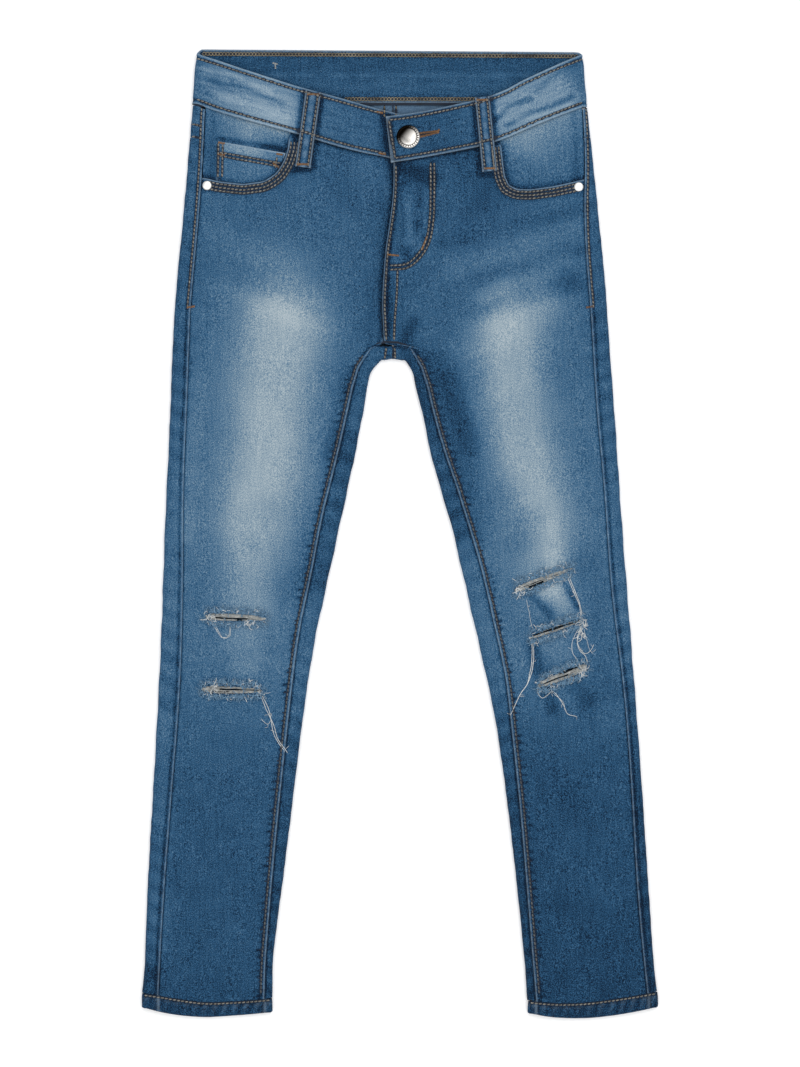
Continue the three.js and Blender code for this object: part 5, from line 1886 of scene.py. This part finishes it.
@dataclass
class Needle:
    """Sews rows of stitches on the finished cloth, over a dark strand that paints the shade of the furrow
    that each row draws in.
    """

    surface: Surface
    furrow_shadows: Optional[ThreadWork] = None
    pitch: float = 2.9
    gap: float = 0.9
    radius: float = 0.52
    # half width of the dark strand of painted furrow shade
    furrow: float = 1.1
    bed: float = 0.04
    slant: float = 0.26
    reach: float = 0.0

    def level(self, x: float, y: float, from_z: float) -> float:
        """Height of the cloth, the highest within reach to either side, so that a row can bridge a seam."""
        r = self.reach
        steps = ((0, 0), (-r, 0), (r, 0), (0, -r), (0, r)) if r else ((0, 0),)
        return max(self.surface.height(x + dx, y + dy, from_z) for dx, dy in steps)

    def row(
        self,
        work: ThreadWork,
        path: Sequence[Point],
        curved: bool = True,
        from_z: float = 12.0,
        pinch: float = 0.0,
    ) -> None:
        """Sews one row of slightly slanted stitches along a path.

        Args:
            work: Where the thread goes.
            path: The row's points.
            curved: Whether the row curves through its points.
            from_z: The cloth is looked for below this height.
            pinch: Reach of the painted shade of the pucker beside each stitch, to the left of the row's way
                if positive.
        """
        places = resampled(path, self.pitch, curved)
        for (ax, ay), (bx, by) in zip(places[:-1], places[1:]):
            length = max(math.hypot(bx - ax, by - ay), 1e-6)
            side = (-(by - ay) / length, (bx - ax) / length)
            share = self.gap / length / 2
            strand = []
            for t, lift in ((share, -0.22), (0.28, 0.14), (0.5, 0.22), (0.72, 0.14), (1 - share, -0.22)):
                lean = self.slant * (t - 0.5) * 2
                x, y = mix(ax, bx, t) + side[0] * lean, mix(ay, by, t) + side[1] * lean
                strand.append((x, y, self.level(x, y, from_z) + lift))
            work.strand(np.array(strand), self.radius)
            if pinch:
                self.pucker_shade((ax, ay), side, pinch, from_z)
        if self.furrow_shadows is not None:
            self.shade(places, self.furrow, from_z)

    def shade(self, places: Sequence[Point], width: float, from_z: float) -> None:
        """Lays the dark strand of painted shade in a row's furrow."""
        bed = [(x, y, self.level(x, y, from_z) - self.bed) for x, y in places]
        self.furrow_shadows.strand(np.array(bed), width, 0.55, 0.26 / width)

    def pucker_shade(self, place: Point, side: Point, reach: float, from_z: float) -> None:
        """Lays a short dark strand beside a stitch: painted shade of the puckered cloth."""
        swing = 0.7 + 0.5 * math.sin(place[1] * 0.37) + 0.4 * math.sin(place[1] * 1.3)
        spots = []
        for t in (-0.1, 0.4, 0.75, 1.0):
            x = place[0] + side[0] * reach * swing * t - side[1] * 0.5 * t
            y = place[1] + side[1] * reach * swing * t + side[0] * 0.5 * t
            spots.append((x, y, self.level(x, y, from_z) - self.bed))
        self.furrow_shadows.strand(np.array(spots), 0.62, 0.3, 0.36)

    def chain(self, work: ThreadWork, path: Sequence[Point], from_z: float = 12.0) -> None:
        """Sews a row of chain stitch, whose loops lean to one side and the other."""
        places = resampled(path, 2.4, False)
        if self.furrow_shadows is not None:
            self.shade(places, 1.9, from_z)
        for (ax, ay), (bx, by) in zip(places[:-1], places[1:]):
            ahead = np.array([bx - ax, by - ay]) / max(math.hypot(bx - ax, by - ay), 1e-6)
            side = np.array([-ahead[1], ahead[0]])
            for lean in (-1, 1):
                strand = []
                for t, off in ((-0.15, 0.0), (0.3, 1.05), (0.7, 1.15), (1.15, 0.1)):
                    x, y = mix(ax, bx, t) + side[0] * off * lean, mix(ay, by, t) + side[1] * off * lean
                    strand.append((x, y, self.level(x, y, from_z) + 0.16 + 0.1 * t))
                work.strand(np.array(strand), 0.36)

    def tack(
        self, work: ThreadWork, start: Point, end: Point, width: float = 1.6, from_z: float = 12.0
    ) -> None:
        """Sews a bar tack: close satin stitches across a line."""
        places = resampled([start, end], 0.62, False)
        ahead = np.array(end, float) - np.array(start, float)
        ahead /= np.linalg.norm(ahead)
        side = np.array([-ahead[1], ahead[0]]) * width / 2
        for k, place in enumerate(places):
            reach = side * (0.86 + 0.14 * math.sin(k * 2.3))
            half = reach * 0.5
            ends = [place - reach, place - half, place, place + half, place + reach + ahead * 0.2]
            lifts = (-0.1, 0.3, 0.42, 0.3, -0.1)
            strand = [(x, y, self.level(x, y, from_z) + lift) for (x, y), lift in zip(ends, lifts)]
            work.strand(np.array(strand), 0.27)


@dataclass
class Seams:
    """Every visible row of stitching."""

    right: Pattern
    left: Pattern
    panels: dict[Side, FrontPanel]
    loops: Sequence[BeltLoop]
    surface: Surface

    def build(self, wardrobe: Wardrobe) -> None:
        """Sews the garment.

        Args:
            wardrobe: The finishes.
        """
        # dark strands of painted shade: in the stitch furrows, beside stitches and over the gaps between
        # pieces
        furrow_shadows = ThreadWork("stitch_furrow_shadows", Slot.DENIM, sides=5)
        needle = Needle(self.surface, furrow_shadows)
        self.leg_seams(needle, wardrobe)
        self.waist_seams(needle, wardrobe)
        self.pocket_seams(needle, wardrobe)
        self.tacks(needle, wardrobe)
        furrow_shadows.build(wardrobe, FURROW_SHADE.material())

    def leg_seams(self, needle: Needle, wardrobe: Wardrobe) -> None:
        """Sews the inseams, the tops of the outseams and the hems."""
        shaded = INSEAM_THREAD.material()
        for pattern in (self.right, self.left):
            sign = pattern.side.value
            work = ThreadWork(f"leg_stitching_{pattern.side.label}", Slot.THREAD)
            ys = np.linspace(-330.5, 128, 60)
            inner = ThreadWork(f"inseam_stitching_{pattern.side.label}", Slot.THREAD)
            path = [(float(pattern.inseam(y)) + sign * 2.7, float(y)) for y in ys]
            needle.row(inner, path, pinch=-sign * 1.9)
            inner.build(wardrobe, shaded)
            ys = np.linspace(162, 306, 20)
            needle.row(work, [(float(pattern.outseam(y)) + sign * 2.4, float(y)) for y in ys])
            xs = np.linspace(pattern.hem_ends[0] + 1.8, pattern.hem_ends[1] - 1.8, 12)
            needle.row(work, [(float(x), float(pattern.hem_top(x)) - 1.2) for x in xs])
            yoke = [(float(pattern.outer(288.0)) - sign * 1.0), float(pattern.outseam(286.0)) + sign * 1.4]
            for level in (293.0, 284.2):
                needle.row(work, [(yoke[0], level + 1.2), (yoke[1], level - 0.4)], False)
            work.build(wardrobe)

    def waist_seams(self, needle: Needle, wardrobe: Wardrobe) -> None:
        """Sews both edges of the waistband, outside and in, and the fly."""
        work = ThreadWork("waist_stitching", Slot.THREAD)
        deep = Needle(self.surface, needle.furrow_shadows, furrow=1.55)
        bands = ((self.right, -146.0, -10.0, -13.5), (self.left, 131.0, -3.4, -7.6))
        for pattern, start, foot_end, head_end in bands:
            least = -4.0 if pattern is self.left else start
            xs = np.linspace(start, foot_end, 24)
            deep.row(work, [(float(x), float(pattern.band_foot(x)) + 2.9) for x in xs])
            xs = np.linspace(start, head_end, 24)
            deep.row(work, [(float(x), float(pattern.band_head(max(x, least))) - 2.9) for x in xs])
        foot, head = float(self.left.band_foot(-6.0)), float(self.left.band_head(-7.0))
        deep.row(work, [(-7.9, head - 3.2), (-3.5, foot + 3.2)], False)
        fly = self.left.fly
        for inset, bottom in ((0.0, 190.0), (2.6, 193.0)):
            x_line = [24.6 - inset, 24.6 - inset, 24.0 - inset, 20.3 - inset, 14.0 - inset * 0.6, 6.0, -7.4]
            y_line = [266.5, 242.0, 226.0, 207.4 + inset * 0.3, 197.6 + inset, bottom + 1.2, bottom - 0.6]
            needle.row(work, list(zip(x_line, y_line)))
        ys = np.linspace(264.0, 139.0, 22)
        needle.row(work, [(float(fly(y)) + 1.9, float(y)) for y in ys])
        needle.row(work, [(-1.8, 189.0), (-2.2, 174.0), (-3.8, 152.0), (-4.3, 139.0)])
        bridge = Needle(self.surface, needle.furrow_shadows, reach=1.8)
        for start, end in (((-9.8, 133.4), (-11.0, 125.6)), ((-3.8, 133.4), (-3.4, 125.6))):
            bridge.row(work, [start, end], False)
        # dark strands over the gaps at the crotch and at the band's outer ends, and under its foot inside:
        # painted shade where the pieces meet
        bridge.shade([(-5.0, 134.0), (-5.0, 125.4)], 1.1, 12.0)
        bridge.shade([(-17.0, 136.4), (-11.0, 137.6), (-2.0, 137.4), (5.0, 135.4)], 0.9, 12.0)
        bridge.shade([(-149.4, 308.6), (-145.0, 307.5), (-140.8, 306.5)], 0.7, 12.0)
        bridge.shade([(130.6, 306.9), (134.6, 305.3)], 0.7, 12.0)
        bridge.shade([(float(x), 308.9) for x in np.linspace(-58, 60, 40)], 1.0, 4.0)
        work.build(wardrobe)
        inside = ThreadWork("inside_chain_stitch", Slot.THREAD)
        needle.chain(inside, [(-142.0, 345.0), (128.0, 343.2)], 4.0)
        needle.chain(inside, [(-40.0, 312.4), (60.0, 312.4)], 4.0)
        # a dark strand over the gap at the centre back of the yoke: painted shade
        bridge.shade([(-5.0, 308.6), (-5.0, 296.0)], 0.9, 4.0)
        for x in (-11.2, -2.8):
            needle.row(inside, [(x, 308.0), (x, 299.0)], False, 4.0)
        inside.build(wardrobe, CHAIN_THREAD.material())

    def pocket_seams(self, needle: Needle, wardrobe: Wardrobe) -> None:
        """Sews the pocket mouths, the coin pocket and the belt loops."""
        work = ThreadWork("pocket_stitching", Slot.THREAD)
        for side, panel in self.panels.items():
            path = np.array(panel.mouth())
            ahead = np.gradient(path, axis=0)
            ahead /= np.linalg.norm(ahead, axis=1)[:, None]
            away = np.stack([ahead[:, 1], -ahead[:, 0]], axis=1) * -side.value
            for offset in (2.0, 4.5, 6.8):
                shifted = path[1:] + away[1:] * offset
                needle.row(work, [tuple(p) for p in shifted])
        for row in (8.0, 10.4):
            needle.row(work, [(-129.8, 281.9 - row), (-85.8, 274.1 - row)], False)
        needle.row(work, [(-88.4, 270.4), (-89.6, 262.4)], False)
        for inset in (0.0, 3.0):
            needle.row(work, [(-130.4 + inset, 280.6 - inset * 0.2), (-130.8 + inset, 256.0)], False)
        for loop in self.loops:
            (ax, ay), (bx, by) = loop.top, loop.foot
            length = math.hypot(bx - ax, by - ay)
            side = np.array([-(by - ay), bx - ax]) / length * (loop.width / 2 - 2.2)
            for sign in (-1, 1):
                start = (ax + sign * side[0], ay + sign * side[1] - 1)
                end = (bx + sign * side[0], by + sign * side[1] + 1)
                needle.row(work, [start, end], False)
        work.build(wardrobe)

    def tacks(self, needle: Needle, wardrobe: Wardrobe) -> None:
        """Sews the bright bar tacks and the buttonhole."""
        work = ThreadWork("bar_tacks", Slot.BRIGHT)
        bars = [
            ((-9.0, 200.4), (-1.0, 199.6)), ((19.4, 213.4), (15.8, 204.0)),
            ((-130.4, 281.0), (-126.2, 280.2)), ((-130.8, 272.6), (-126.0, 271.8)),
            ((-88.6, 272.8), (-84.6, 272.2)), ((-91.2, 266.0), (-86.6, 262.8)),
            ((-12.4, 302.2), (-16.4, 303.2)), ((-10.4, 272.4), (-15.0, 273.4)),
        ]
        for start, end in bars:
            needle.tack(work, start, end)
        for pattern in (self.right, self.left):
            x = float(pattern.outseam(163.0))
            needle.tack(work, (x - 2.6, 162.4), (x + 2.6, 163.2), 1.8)
        for loop in self.loops:
            (ax, ay), (bx, by) = loop.top, loop.foot
            half = loop.width / 2 - 1.6
            needle.tack(work, (ax - half, ay - 2.2), (ax + half, ay - 2.2), 1.8)
            needle.tack(work, (bx - half, by + 2.0), (bx + half, by + 2.0), 1.8)
        for offset in (-1.0, 1.0):
            needle.tack(work, (13.8, 286.0 + offset * 1.4), (27.4, 288.6 + offset * 0.5), 1.8)
        # a dark strand along the buttonhole's slit: painted shade inside it
        needle.shade([(13.4, 286.0), (20.0, 287.2), (28.6, 288.9)], 1.5, 12.0)
        needle.tack(work, (27.2, 287.6), (28.0, 290.2), 1.6)
        work.build(wardrobe)
        white = ThreadWork("label_stitches", Slot.WEFT)
        needle.tack(white, (-91.4, 338.4), (-88.2, 337.6), 1.2, 4.0)
        needle.tack(white, (-89.8, 338.4), (-89.6, 334.6), 1.0, 4.0)
        white.build(wardrobe)


@dataclass
class Fraying:
    """Bare weft across the rips, the curled fringe of their lips, tangles and the long pulled threads."""

    side: Side
    drape: Drape
    rng: np.random.Generator
    pulled: Sequence[Sequence[Point]]
    tangles: Sequence[tuple[Point, float, int]]
    pale: bpy.types.Material
    blue: bpy.types.Material

    def build(self, wardrobe: Wardrobe) -> None:
        """Makes and dresses the threads of one leg.

        Args:
            wardrobe: The finishes.
        """
        word = self.side.label
        bare = ThreadWork(f"bare_weft_{word}", Slot.WEFT, sides=4)
        pale = ThreadWork(f"pulled_threads_{word}", Slot.WEFT, sides=4)
        blue = ThreadWork(f"warp_fringe_{word}", Slot.DENIM, sides=4)
        for rip in RIPS[self.side]:
            self.weft(bare, rip)
            self.fringe(blue, rip, 320, 0.23)
            self.fringe(pale, rip, 40, 0.15)
        for path in self.pulled:
            self.pull(pale, path)
        for centre, size, count in self.tangles:
            self.tangle(pale, centre, size, count)
        bare.build(wardrobe)
        pale.build(wardrobe, self.pale)
        blue.build(wardrobe, self.blue)

    def weft(self, work: ThreadWork, rip: Rip) -> None:
        """Lays the bare weft threads along the slit, apart from its dark slots."""
        strands = int(max(rip.gape_start, rip.gape_end) / 0.46)
        for k in range(strands):
            level = (k + 0.5) / strands - 0.5
            spans = [(self.rng.uniform(-0.03, 0.0), self.rng.uniform(1.0, 1.03))]
            for middle, half, start, end in rip.slots:
                if abs(level - middle) < half:
                    spans = [part for a, b in spans for part in ((a, min(b, start)), (max(a, end), b))]
            for a, b in spans:
                if b - a > 0.04:
                    self.bare_thread(work, rip, level, a, b)

    def bare_thread(self, work: ThreadWork, rip: Rip, level: float, start: float, end: float) -> None:
        """Lays one bare weft thread at a level of the slit, between two shares of its length."""
        t = np.linspace(start, end, 20)
        x = mix(rip.start[0], rip.end[0], t)
        swing = self.rng.uniform(0.1, 0.26)
        wander = swing * np.sin(x * self.rng.uniform(0.25, 0.5) + self.rng.uniform(0, 6))
        y = rip.line(x) + level * rip.gape(x) + wander
        sag = np.clip(np.sin(math.pi * np.clip(t, 0, 1)), 0, 1)
        z = self.drape.face(x, y) - 0.35 - 0.35 * sag + self.rng.uniform(-0.2, 0.2)
        work.strand(stacked(x, y, z), self.rng.uniform(0.2, 0.29))

    def curl(self, x: float, y: float, heading: float, length: float, turn: float, lift: float) -> Array:
        """Places along a short curled thread that stands a little off the cloth."""
        u = np.linspace(0, 1, 7)
        angles = heading + turn * u
        step = length / 6
        px = x + np.concatenate([[0], np.cumsum(np.cos(angles[:-1]) * step)])
        py = y + np.concatenate([[0], np.cumsum(np.sin(angles[:-1]) * step)])
        pz = self.drape.face(px, py) + 0.1 + lift * np.sin(math.pi * u * 0.85)
        return stacked(px, py, pz)

    def fringe(self, work: ThreadWork, rip: Rip, count: int, radius: float) -> None:
        """Adds short curled ends along both lips.

        Args:
            work: Where the threads go.
            rip: The rip.
            count: How many ends.
            radius: Their mean radius.
        """
        for k in range(count):
            t = self.rng.uniform(-0.04, 1.04)
            x = mix(rip.start[0], rip.end[0], t)
            upper = 1 if k % 2 else -1
            edge = upper * (float(rip.gape(np.array(x))) * 0.5 + self.rng.uniform(-0.3, 2.6))
            heading = upper * (math.pi / 2 + self.rng.normal(0, 0.8))
            length = self.rng.uniform(2.0, 5.6)
            place = self.curl(x, float(rip.line(x)) + edge, heading, length, self.rng.normal(0, 2.4), 1.0)
            work.strand(place, radius * self.rng.uniform(0.75, 1.25))

    def tangle(self, work: ThreadWork, centre: Point, size: float, count: int) -> None:
        """Adds a small nest of curled thread."""
        for _ in range(count):
            x, y = (c + self.rng.normal(0, size * 0.4) for c in centre)
            heading, turn = self.rng.uniform(0, 2 * math.pi), self.rng.normal(0, 3.4)
            work.strand(self.curl(x, y, heading, self.rng.uniform(3, 7), turn, 1.2), 0.19)

    def pull(self, work: ThreadWork, path: Sequence[Point]) -> None:
        """Lays one long pulled thread on the cloth, with a few hairs beside it."""
        places = resampled(path, 1.5)
        places = places + np.cumsum(self.rng.normal(0, 0.06, places.shape), axis=0)
        height = self.drape.face(places[:, 0], places[:, 1]) + 0.5
        length = float(np.hypot(*np.diff(places, axis=0).T).sum())
        radius = mix(0.13, 0.21, float(smooth(np.array(length), 20, 42)))
        work.strand(stacked(places[:, 0], places[:, 1], height), radius)
        for x, y in places[3::9]:
            heading = self.rng.uniform(0, 2 * math.pi)
            reach, bend = self.rng.uniform(2, 4.5), self.rng.normal(0, 1.6)
            work.strand(self.curl(x, y, heading, reach, bend, 0.6), 0.10)


# ---------------------------------------------------------------- metal


@dataclass
class Button:
    """A shank button with a dished face and a rim of plain bars."""

    centre: Point
    seat: float
    radius: float = 8.5
    rise: float = 3.6
    bars: int = 26

    def build(self, wardrobe: Wardrobe) -> bpy.types.Object:
        """Makes and dresses the button.

        Args:
            wardrobe: The finishes.

        Returns:
            The button.
        """
        profile = [
            (0.0, -2.4), (2.9, -2.4), (2.9, 0.0), (7.9, 0.05), (8.35, 0.4), (8.5, 1.0), (8.4, 1.7),
            (8.0, 2.3),
            (7.5, 2.55), (7.2, 2.5), (6.9, 2.35), (6.5, 2.38), (6.25, 2.6), (5.4, 2.92), (4.4, 3.16),
            (3.0, 3.37),
            (1.5, 3.47), (0.0, 3.5),
        ]
        mesh = lathe("button_piece", profile, 72)
        offset = Vector((self.centre[0], self.centre[1], self.seat)) * MM
        mesh.transform(_translation(offset))
        bars = bpy.data.meshes.new("bars")
        places, faces = [], []
        for k in range(self.bars):
            angle = 2 * math.pi * k / self.bars
            turn = np.array([[math.cos(angle), -math.sin(angle)], [math.sin(angle), math.cos(angle)]])
            for level, shrink in ((2.2, 1.0), (2.86, 0.72)):
                for dx, dy in ((-0.62, -0.42), (0.62, -0.42), (0.62, 0.42), (-0.62, 0.42)):
                    px, py = turn @ np.array([7.1 + dx * shrink, dy * shrink])
                    places.append((self.centre[0] + px, self.centre[1] + py, self.seat + level))
            a = 8 * k
            faces += [(a, a + 3, a + 2, a + 1), (a + 4, a + 5, a + 6, a + 7)]
            faces += [(a + i, a + (i + 1) % 4, a + 4 + (i + 1) % 4, a + 4 + i) for i in range(4)]
        bars.from_pydata((np.array(places) * MM).tolist(), [], faces)
        piece = joined([mesh, bars], "button_piece")
        # the button's face gets a painted shade, dark at the upper left and bright at the lower right
        gloom = (*self.centre, self.radius)
        tarnished = MetalFinish("tarnished nickel with painted shade", (255, 252, 248), (236, 230, 222), 0.18, gloom)
        places = np.array([tuple(vertex.co) for vertex in piece.data.vertices]) / MM
        away = np.hypot(places[:, 0] - self.centre[0], places[:, 1] - self.centre[1])
        bed = (away > 5.9) & (away < 7.9) & (places[:, 2] < self.seat + 2.66)
        layer = piece.data.attributes.new("bed", "FLOAT", "POINT")
        layer.data.foreach_set("value", bed.astype(float))
        wardrobe.dress(piece, Slot.METAL, ["button"], tarnished.material())
        return piece


@dataclass
class Rivet:
    """A small domed rivet with a flange."""

    side: Side
    centre: Point
    seat: float

    def build(self, wardrobe: Wardrobe) -> bpy.types.Object:
        """Makes and dresses the rivet.

        Args:
            wardrobe: The finishes.

        Returns:
            The rivet.
        """
        profile = [
            (0.0, -0.1), (3.2, -0.1), (3.35, 0.15), (3.3, 0.45), (3.05, 0.72), (2.6, 0.92), (2.0, 1.06),
            (1.3, 1.16), (0.6, 1.2), (0.0, 1.21),
        ]
        mesh = lathe(f"rivet_piece_{self.side.label}", profile, 40)
        mesh.transform(_translation(Vector((self.centre[0], self.centre[1], self.seat)) * MM))
        piece = finish_mesh(mesh, 60.0)
        wardrobe.dress(piece, Slot.METAL, [f"rivet_{self.side.label}"])
        return piece


def _translation(offset: Vector) -> Matrix:
    """A matrix that only moves."""
    return Matrix.Translation(offset)


def lathe(name: str, profile: Sequence[Point], steps: int) -> bpy.types.Mesh:
    """Turns a profile about the upright axis.

    Args:
        name: The mesh's name.
        profile: Radius and height of each point, from the axis to the axis.
        steps: Facets round the axis.

    Returns:
        The mesh, in metres.
    """
    places = [(0.0, 0.0, profile[0][1]), (0.0, 0.0, profile[-1][1])]
    rings = profile[1:-1]
    for radius, height in rings:
        for k in range(steps):
            angle = 2 * math.pi * k / steps
            places.append((radius * math.cos(angle), radius * math.sin(angle), height))
    faces: list[tuple[int, ...]] = []
    for k in range(steps):
        after = (k + 1) % steps
        faces.append((0, 2 + after, 2 + k))
        last = 2 + (len(rings) - 1) * steps
        faces.append((1, last + k, last + after))
        for j in range(len(rings) - 1):
            a = 2 + j * steps
            faces.append((a + k, a + after, a + steps + after, a + steps + k))
    mesh = bpy.data.meshes.new(name)
    mesh.from_pydata((np.array(places) * MM).tolist(), [], faces)
    return mesh


def joined(meshes: Sequence[bpy.types.Mesh], name: str) -> bpy.types.Object:
    """Joins meshes into one object, each turned out and shaded on its own.

    Args:
        meshes: The meshes.
        name: The object's name.

    Returns:
        The object.
    """
    places: list[tuple[float, float, float]] = []
    faces: list[tuple[int, ...]] = []
    for mesh in meshes:
        start = len(places)
        places += [tuple(v.co) for v in mesh.vertices]
        faces += [tuple(start + i for i in p.vertices) for p in mesh.polygons]
        bpy.data.meshes.remove(mesh)
    whole = bpy.data.meshes.new(name)
    whole.from_pydata(places, [], faces)
    return finish_mesh(whole, 40.0)


# ---------------------------------------------------------------- studio


@dataclass
class Studio:
    """The camera straight above the jeans, the pale floor and soft lights."""

    frame_height: float = 0.768
    distance: float = 3.0
    sensor: float = 36.0

    def camera(self) -> None:
        """Places the camera over the middle of the garment, looking straight down."""
        data = bpy.data.cameras.new("overhead")
        data.sensor_width = self.sensor
        data.lens = self.sensor * self.distance / self.frame_height
        data.clip_end = 20.0
        camera = bpy.data.objects.new("overhead", data)
        camera.location = (0.0, 0.0, self.distance)
        bpy.context.scene.collection.objects.link(camera)
        bpy.context.scene.camera = camera

    def floor(self) -> None:
        """Lays the floor just under the garment."""
        half = 4.0
        mesh = bpy.data.meshes.new("studio_floor")
        corners = [(-half, -half, 0), (half, -half, 0), (half, half, 0), (-half, half, 0)]
        mesh.from_pydata([(x, y, -0.0002) for x, y, _ in corners], [], [(0, 1, 2, 3)])
        floor = bpy.data.objects.new("studio_floor", mesh)
        mesh.materials.append(FloorFinish().material())
        bpy.context.scene.collection.objects.link(floor)

    def lights(self) -> None:
        """Hangs a large key light above, a weaker fill on either side and a soft sky."""
        for name, place, size, power in (
            ("key", (0.4, 1.2, 2.4), 2.4, 33.5),
            ("fill", (0.9, -1.1, 2.3), 2.2, 12.0),
            ("low", (-1.3, -0.9, 2.3), 2.2, 17.5),
        ):
            data = bpy.data.lights.new(name, "AREA")
            data.size = size
            data.energy = power
            light = bpy.data.objects.new(name, data)
            light.location = place
            light.rotation_euler = (-Vector(place)).to_track_quat("-Z", "Y").to_euler()
            bpy.context.scene.collection.objects.link(light)
        world = bpy.data.worlds.new("studio")
        world.use_nodes = True
        self.sky(world.node_tree)
        bpy.context.scene.world = world
        bpy.context.scene.view_settings.view_transform = "Standard"

    def sky(self, tree: bpy.types.NodeTree) -> None:
        """Makes a white sky with one dark patch at the upper left, which shapes the metal's reflections."""
        background = tree.nodes["Background"]
        background.inputs[1].default_value = 0.63
        where = tree.nodes.new("ShaderNodeTexCoord")
        toward = tree.nodes.new("ShaderNodeVectorMath")
        toward.operation = "DOT_PRODUCT"
        toward.inputs[1].default_value = Vector((-0.354, 0.354, 0.866)).normalized()
        patch = tree.nodes.new("ShaderNodeMapRange")
        patch.interpolation_type = "SMOOTHSTEP"
        for slot, value in zip(patch.inputs[1:5], (0.86, 0.99, 1.0, 0.4)):
            slot.default_value = value
        tree.links.new(where.outputs["Generated"], toward.inputs[0])
        tree.links.new(toward.outputs["Value"], patch.inputs[0])
        tree.links.new(patch.outputs[0], background.inputs[0])


PULLED = {
    Side.RIGHT: (
        [(-101.4, -113.4), (-97.0, -120.4), (-94.6, -126.0), (-92.2, -137.0), (-90.6, -144.0),
         (-82.4, -157.0)],
        [(-101.8, -114.0), (-98.0, -121.4), (-95.6, -127.4), (-91.4, -136.4), (-88.6, -146.4),
         (-81.2, -157.6)],
        [(-92.6, -134.0), (-95.0, -137.2), (-97.2, -135.8), (-99.6, -133.0)],
        [(-133.0, -64.6), (-130.0, -70.6), (-126.4, -75.4), (-122.4, -73.6), (-121.6, -67.8)],
        [(-136.0, -62.0), (-132.0, -69.0), (-127.8, -74.6), (-124.2, -74.4), (-122.4, -66.8)],
    ),
    Side.LEFT: (
        [(119.8, -26.4), (122.6, -34.0), (126.4, -43.2), (129.4, -51.0), (130.4, -58.0),
         (129.8, -64.4)],
        [(119.2, -27.0), (122.0, -34.6), (125.6, -43.6), (128.9, -51.4), (129.7, -58.4),
         (129.0, -64.8)],
        [(131.0, -65.5), (129.6, -71.0), (127.4, -77.4), (129.4, -82.8), (133.4, -86.8),
         (137.2, -84.4), (139.6, -80.0)],
        [(130.6, -66.0), (127.4, -76.0), (129.2, -83.6), (133.2, -87.6), (134.2, -92.0),
         (131.4, -100.0)],
        [(129.6, -66.0), (126.0, -72.0), (123.6, -78.4), (123.8, -85.0), (127.4, -91.0)],
        [(132.0, -68.0), (134.4, -78.0), (136.4, -84.0), (138.8, -86.4)],
        [(120.0, -33.8), (116.0, -34.4), (111.8, -34.6), (113.6, -32.6)],
        [(92.6, -74.0), (94.6, -79.0), (94.9, -88.7), (93.3, -99.8), (91.7, -106.6),
         (87.1, -114.2), (79.6, -130.4)],
        [(93.2, -74.6), (95.6, -80.0), (96.2, -89.7), (94.3, -101.0), (91.6, -108.4),
         (86.4, -115.6), (83.4, -122.0)],
        [(99.4, -109.4), (98.8, -114.6), (101.8, -118.2), (105.8, -116.0), (108.6, -113.6),
         (114.8, -119.5), (118.1, -125.3), (119.6, -129.0), (126.8, -131.6)],
        [(109.0, -114.0), (113.6, -117.6), (117.4, -121.4), (118.6, -127.0)],
        [(90.8, -47.6), (92.6, -55.0), (94.4, -64.0), (96.2, -69.8)],
    ),
}
TANGLES = {
    Side.RIGHT: (
        ((-137.0, -61.6), 3.0, 8),
        ((-133.4, -110.6), 3.0, 12),
        ((-110.0, -65.6), 4.0, 10),
    ),
    Side.LEFT: (
        ((86.4, -40.6), 3.4, 16),
        ((132.0, -66.0), 3.2, 16),
        ((130.6, -98.6), 3.2, 14),
        ((129.6, -73.0), 2.6, 8),
    ),
}
SEED = 7
BUTTON_PLACE = (6.0, 284.8)
BUTTON_SEAT = 6.9
RIVET_PLACES = {Side.RIGHT: (-138.6, 250.0), Side.LEFT: (128.4, 249.0)}
RIVET_LIFT = 0.1


def main() -> None:
    """Builds the jeans, piece by piece, and the studio round them."""
    logging.basicConfig(level=logging.INFO, format="%(name)s: %(message)s")
    studio = Studio()
    studio.camera()
    studio.floor()
    studio.lights()
    right, left = Pattern(Side.RIGHT), Pattern(Side.LEFT)
    drape, wash, wardrobe = Drape(right, left), Wash(), Wardrobe()
    panels: dict[Side, FrontPanel] = {}
    for pattern in (right, left):
        back = FoldedBack(pattern, drape, wash)
        back.build_panel(wardrobe)
        back.build_yoke(wardrobe)
        panels[pattern.side] = FrontPanel(pattern, drape, wash)
        panels[pattern.side].build(wardrobe)
        PocketParts(panels[pattern.side], drape, wash).facing(wardrobe)
        Hem(pattern, drape, wash).build(wardrobe)
    PocketParts(panels[Side.RIGHT], drape, wash).coin_pocket(wardrobe)
    FlyFacing(drape).build(wardrobe)
    Waistband(right, left, wash).build(wardrobe)
    loops = [
        BeltLoop(Side.RIGHT, right, drape, (-62.3, 317.5), (-69.8, 263.2), 11.6),
        BeltLoop(Side.LEFT, left, drape, (59.0, 313.5), (64.4, 260.3), 11.0),
    ]
    for loop in loops:
        loop.build(wardrobe)
    surface = Surface(list(wardrobe.cloth))
    Seams(right, left, panels, loops, surface).build(wardrobe)
    pale = LOOSE_THREAD.material()
    blue = FRAYED_WARP.material()
    for side in Side:
        rng = np.random.default_rng(SEED + side.value)
        Fraying(side, drape, rng, PULLED[side], TANGLES[side], pale, blue).build(wardrobe)
    Button(BUTTON_PLACE, BUTTON_SEAT).build(wardrobe)
    for side, (x, y) in RIVET_PLACES.items():
        Rivet(side, (x, y), surface.height(x, y) + RIVET_LIFT).build(wardrobe)


if __name__ == "__main__":
    main()
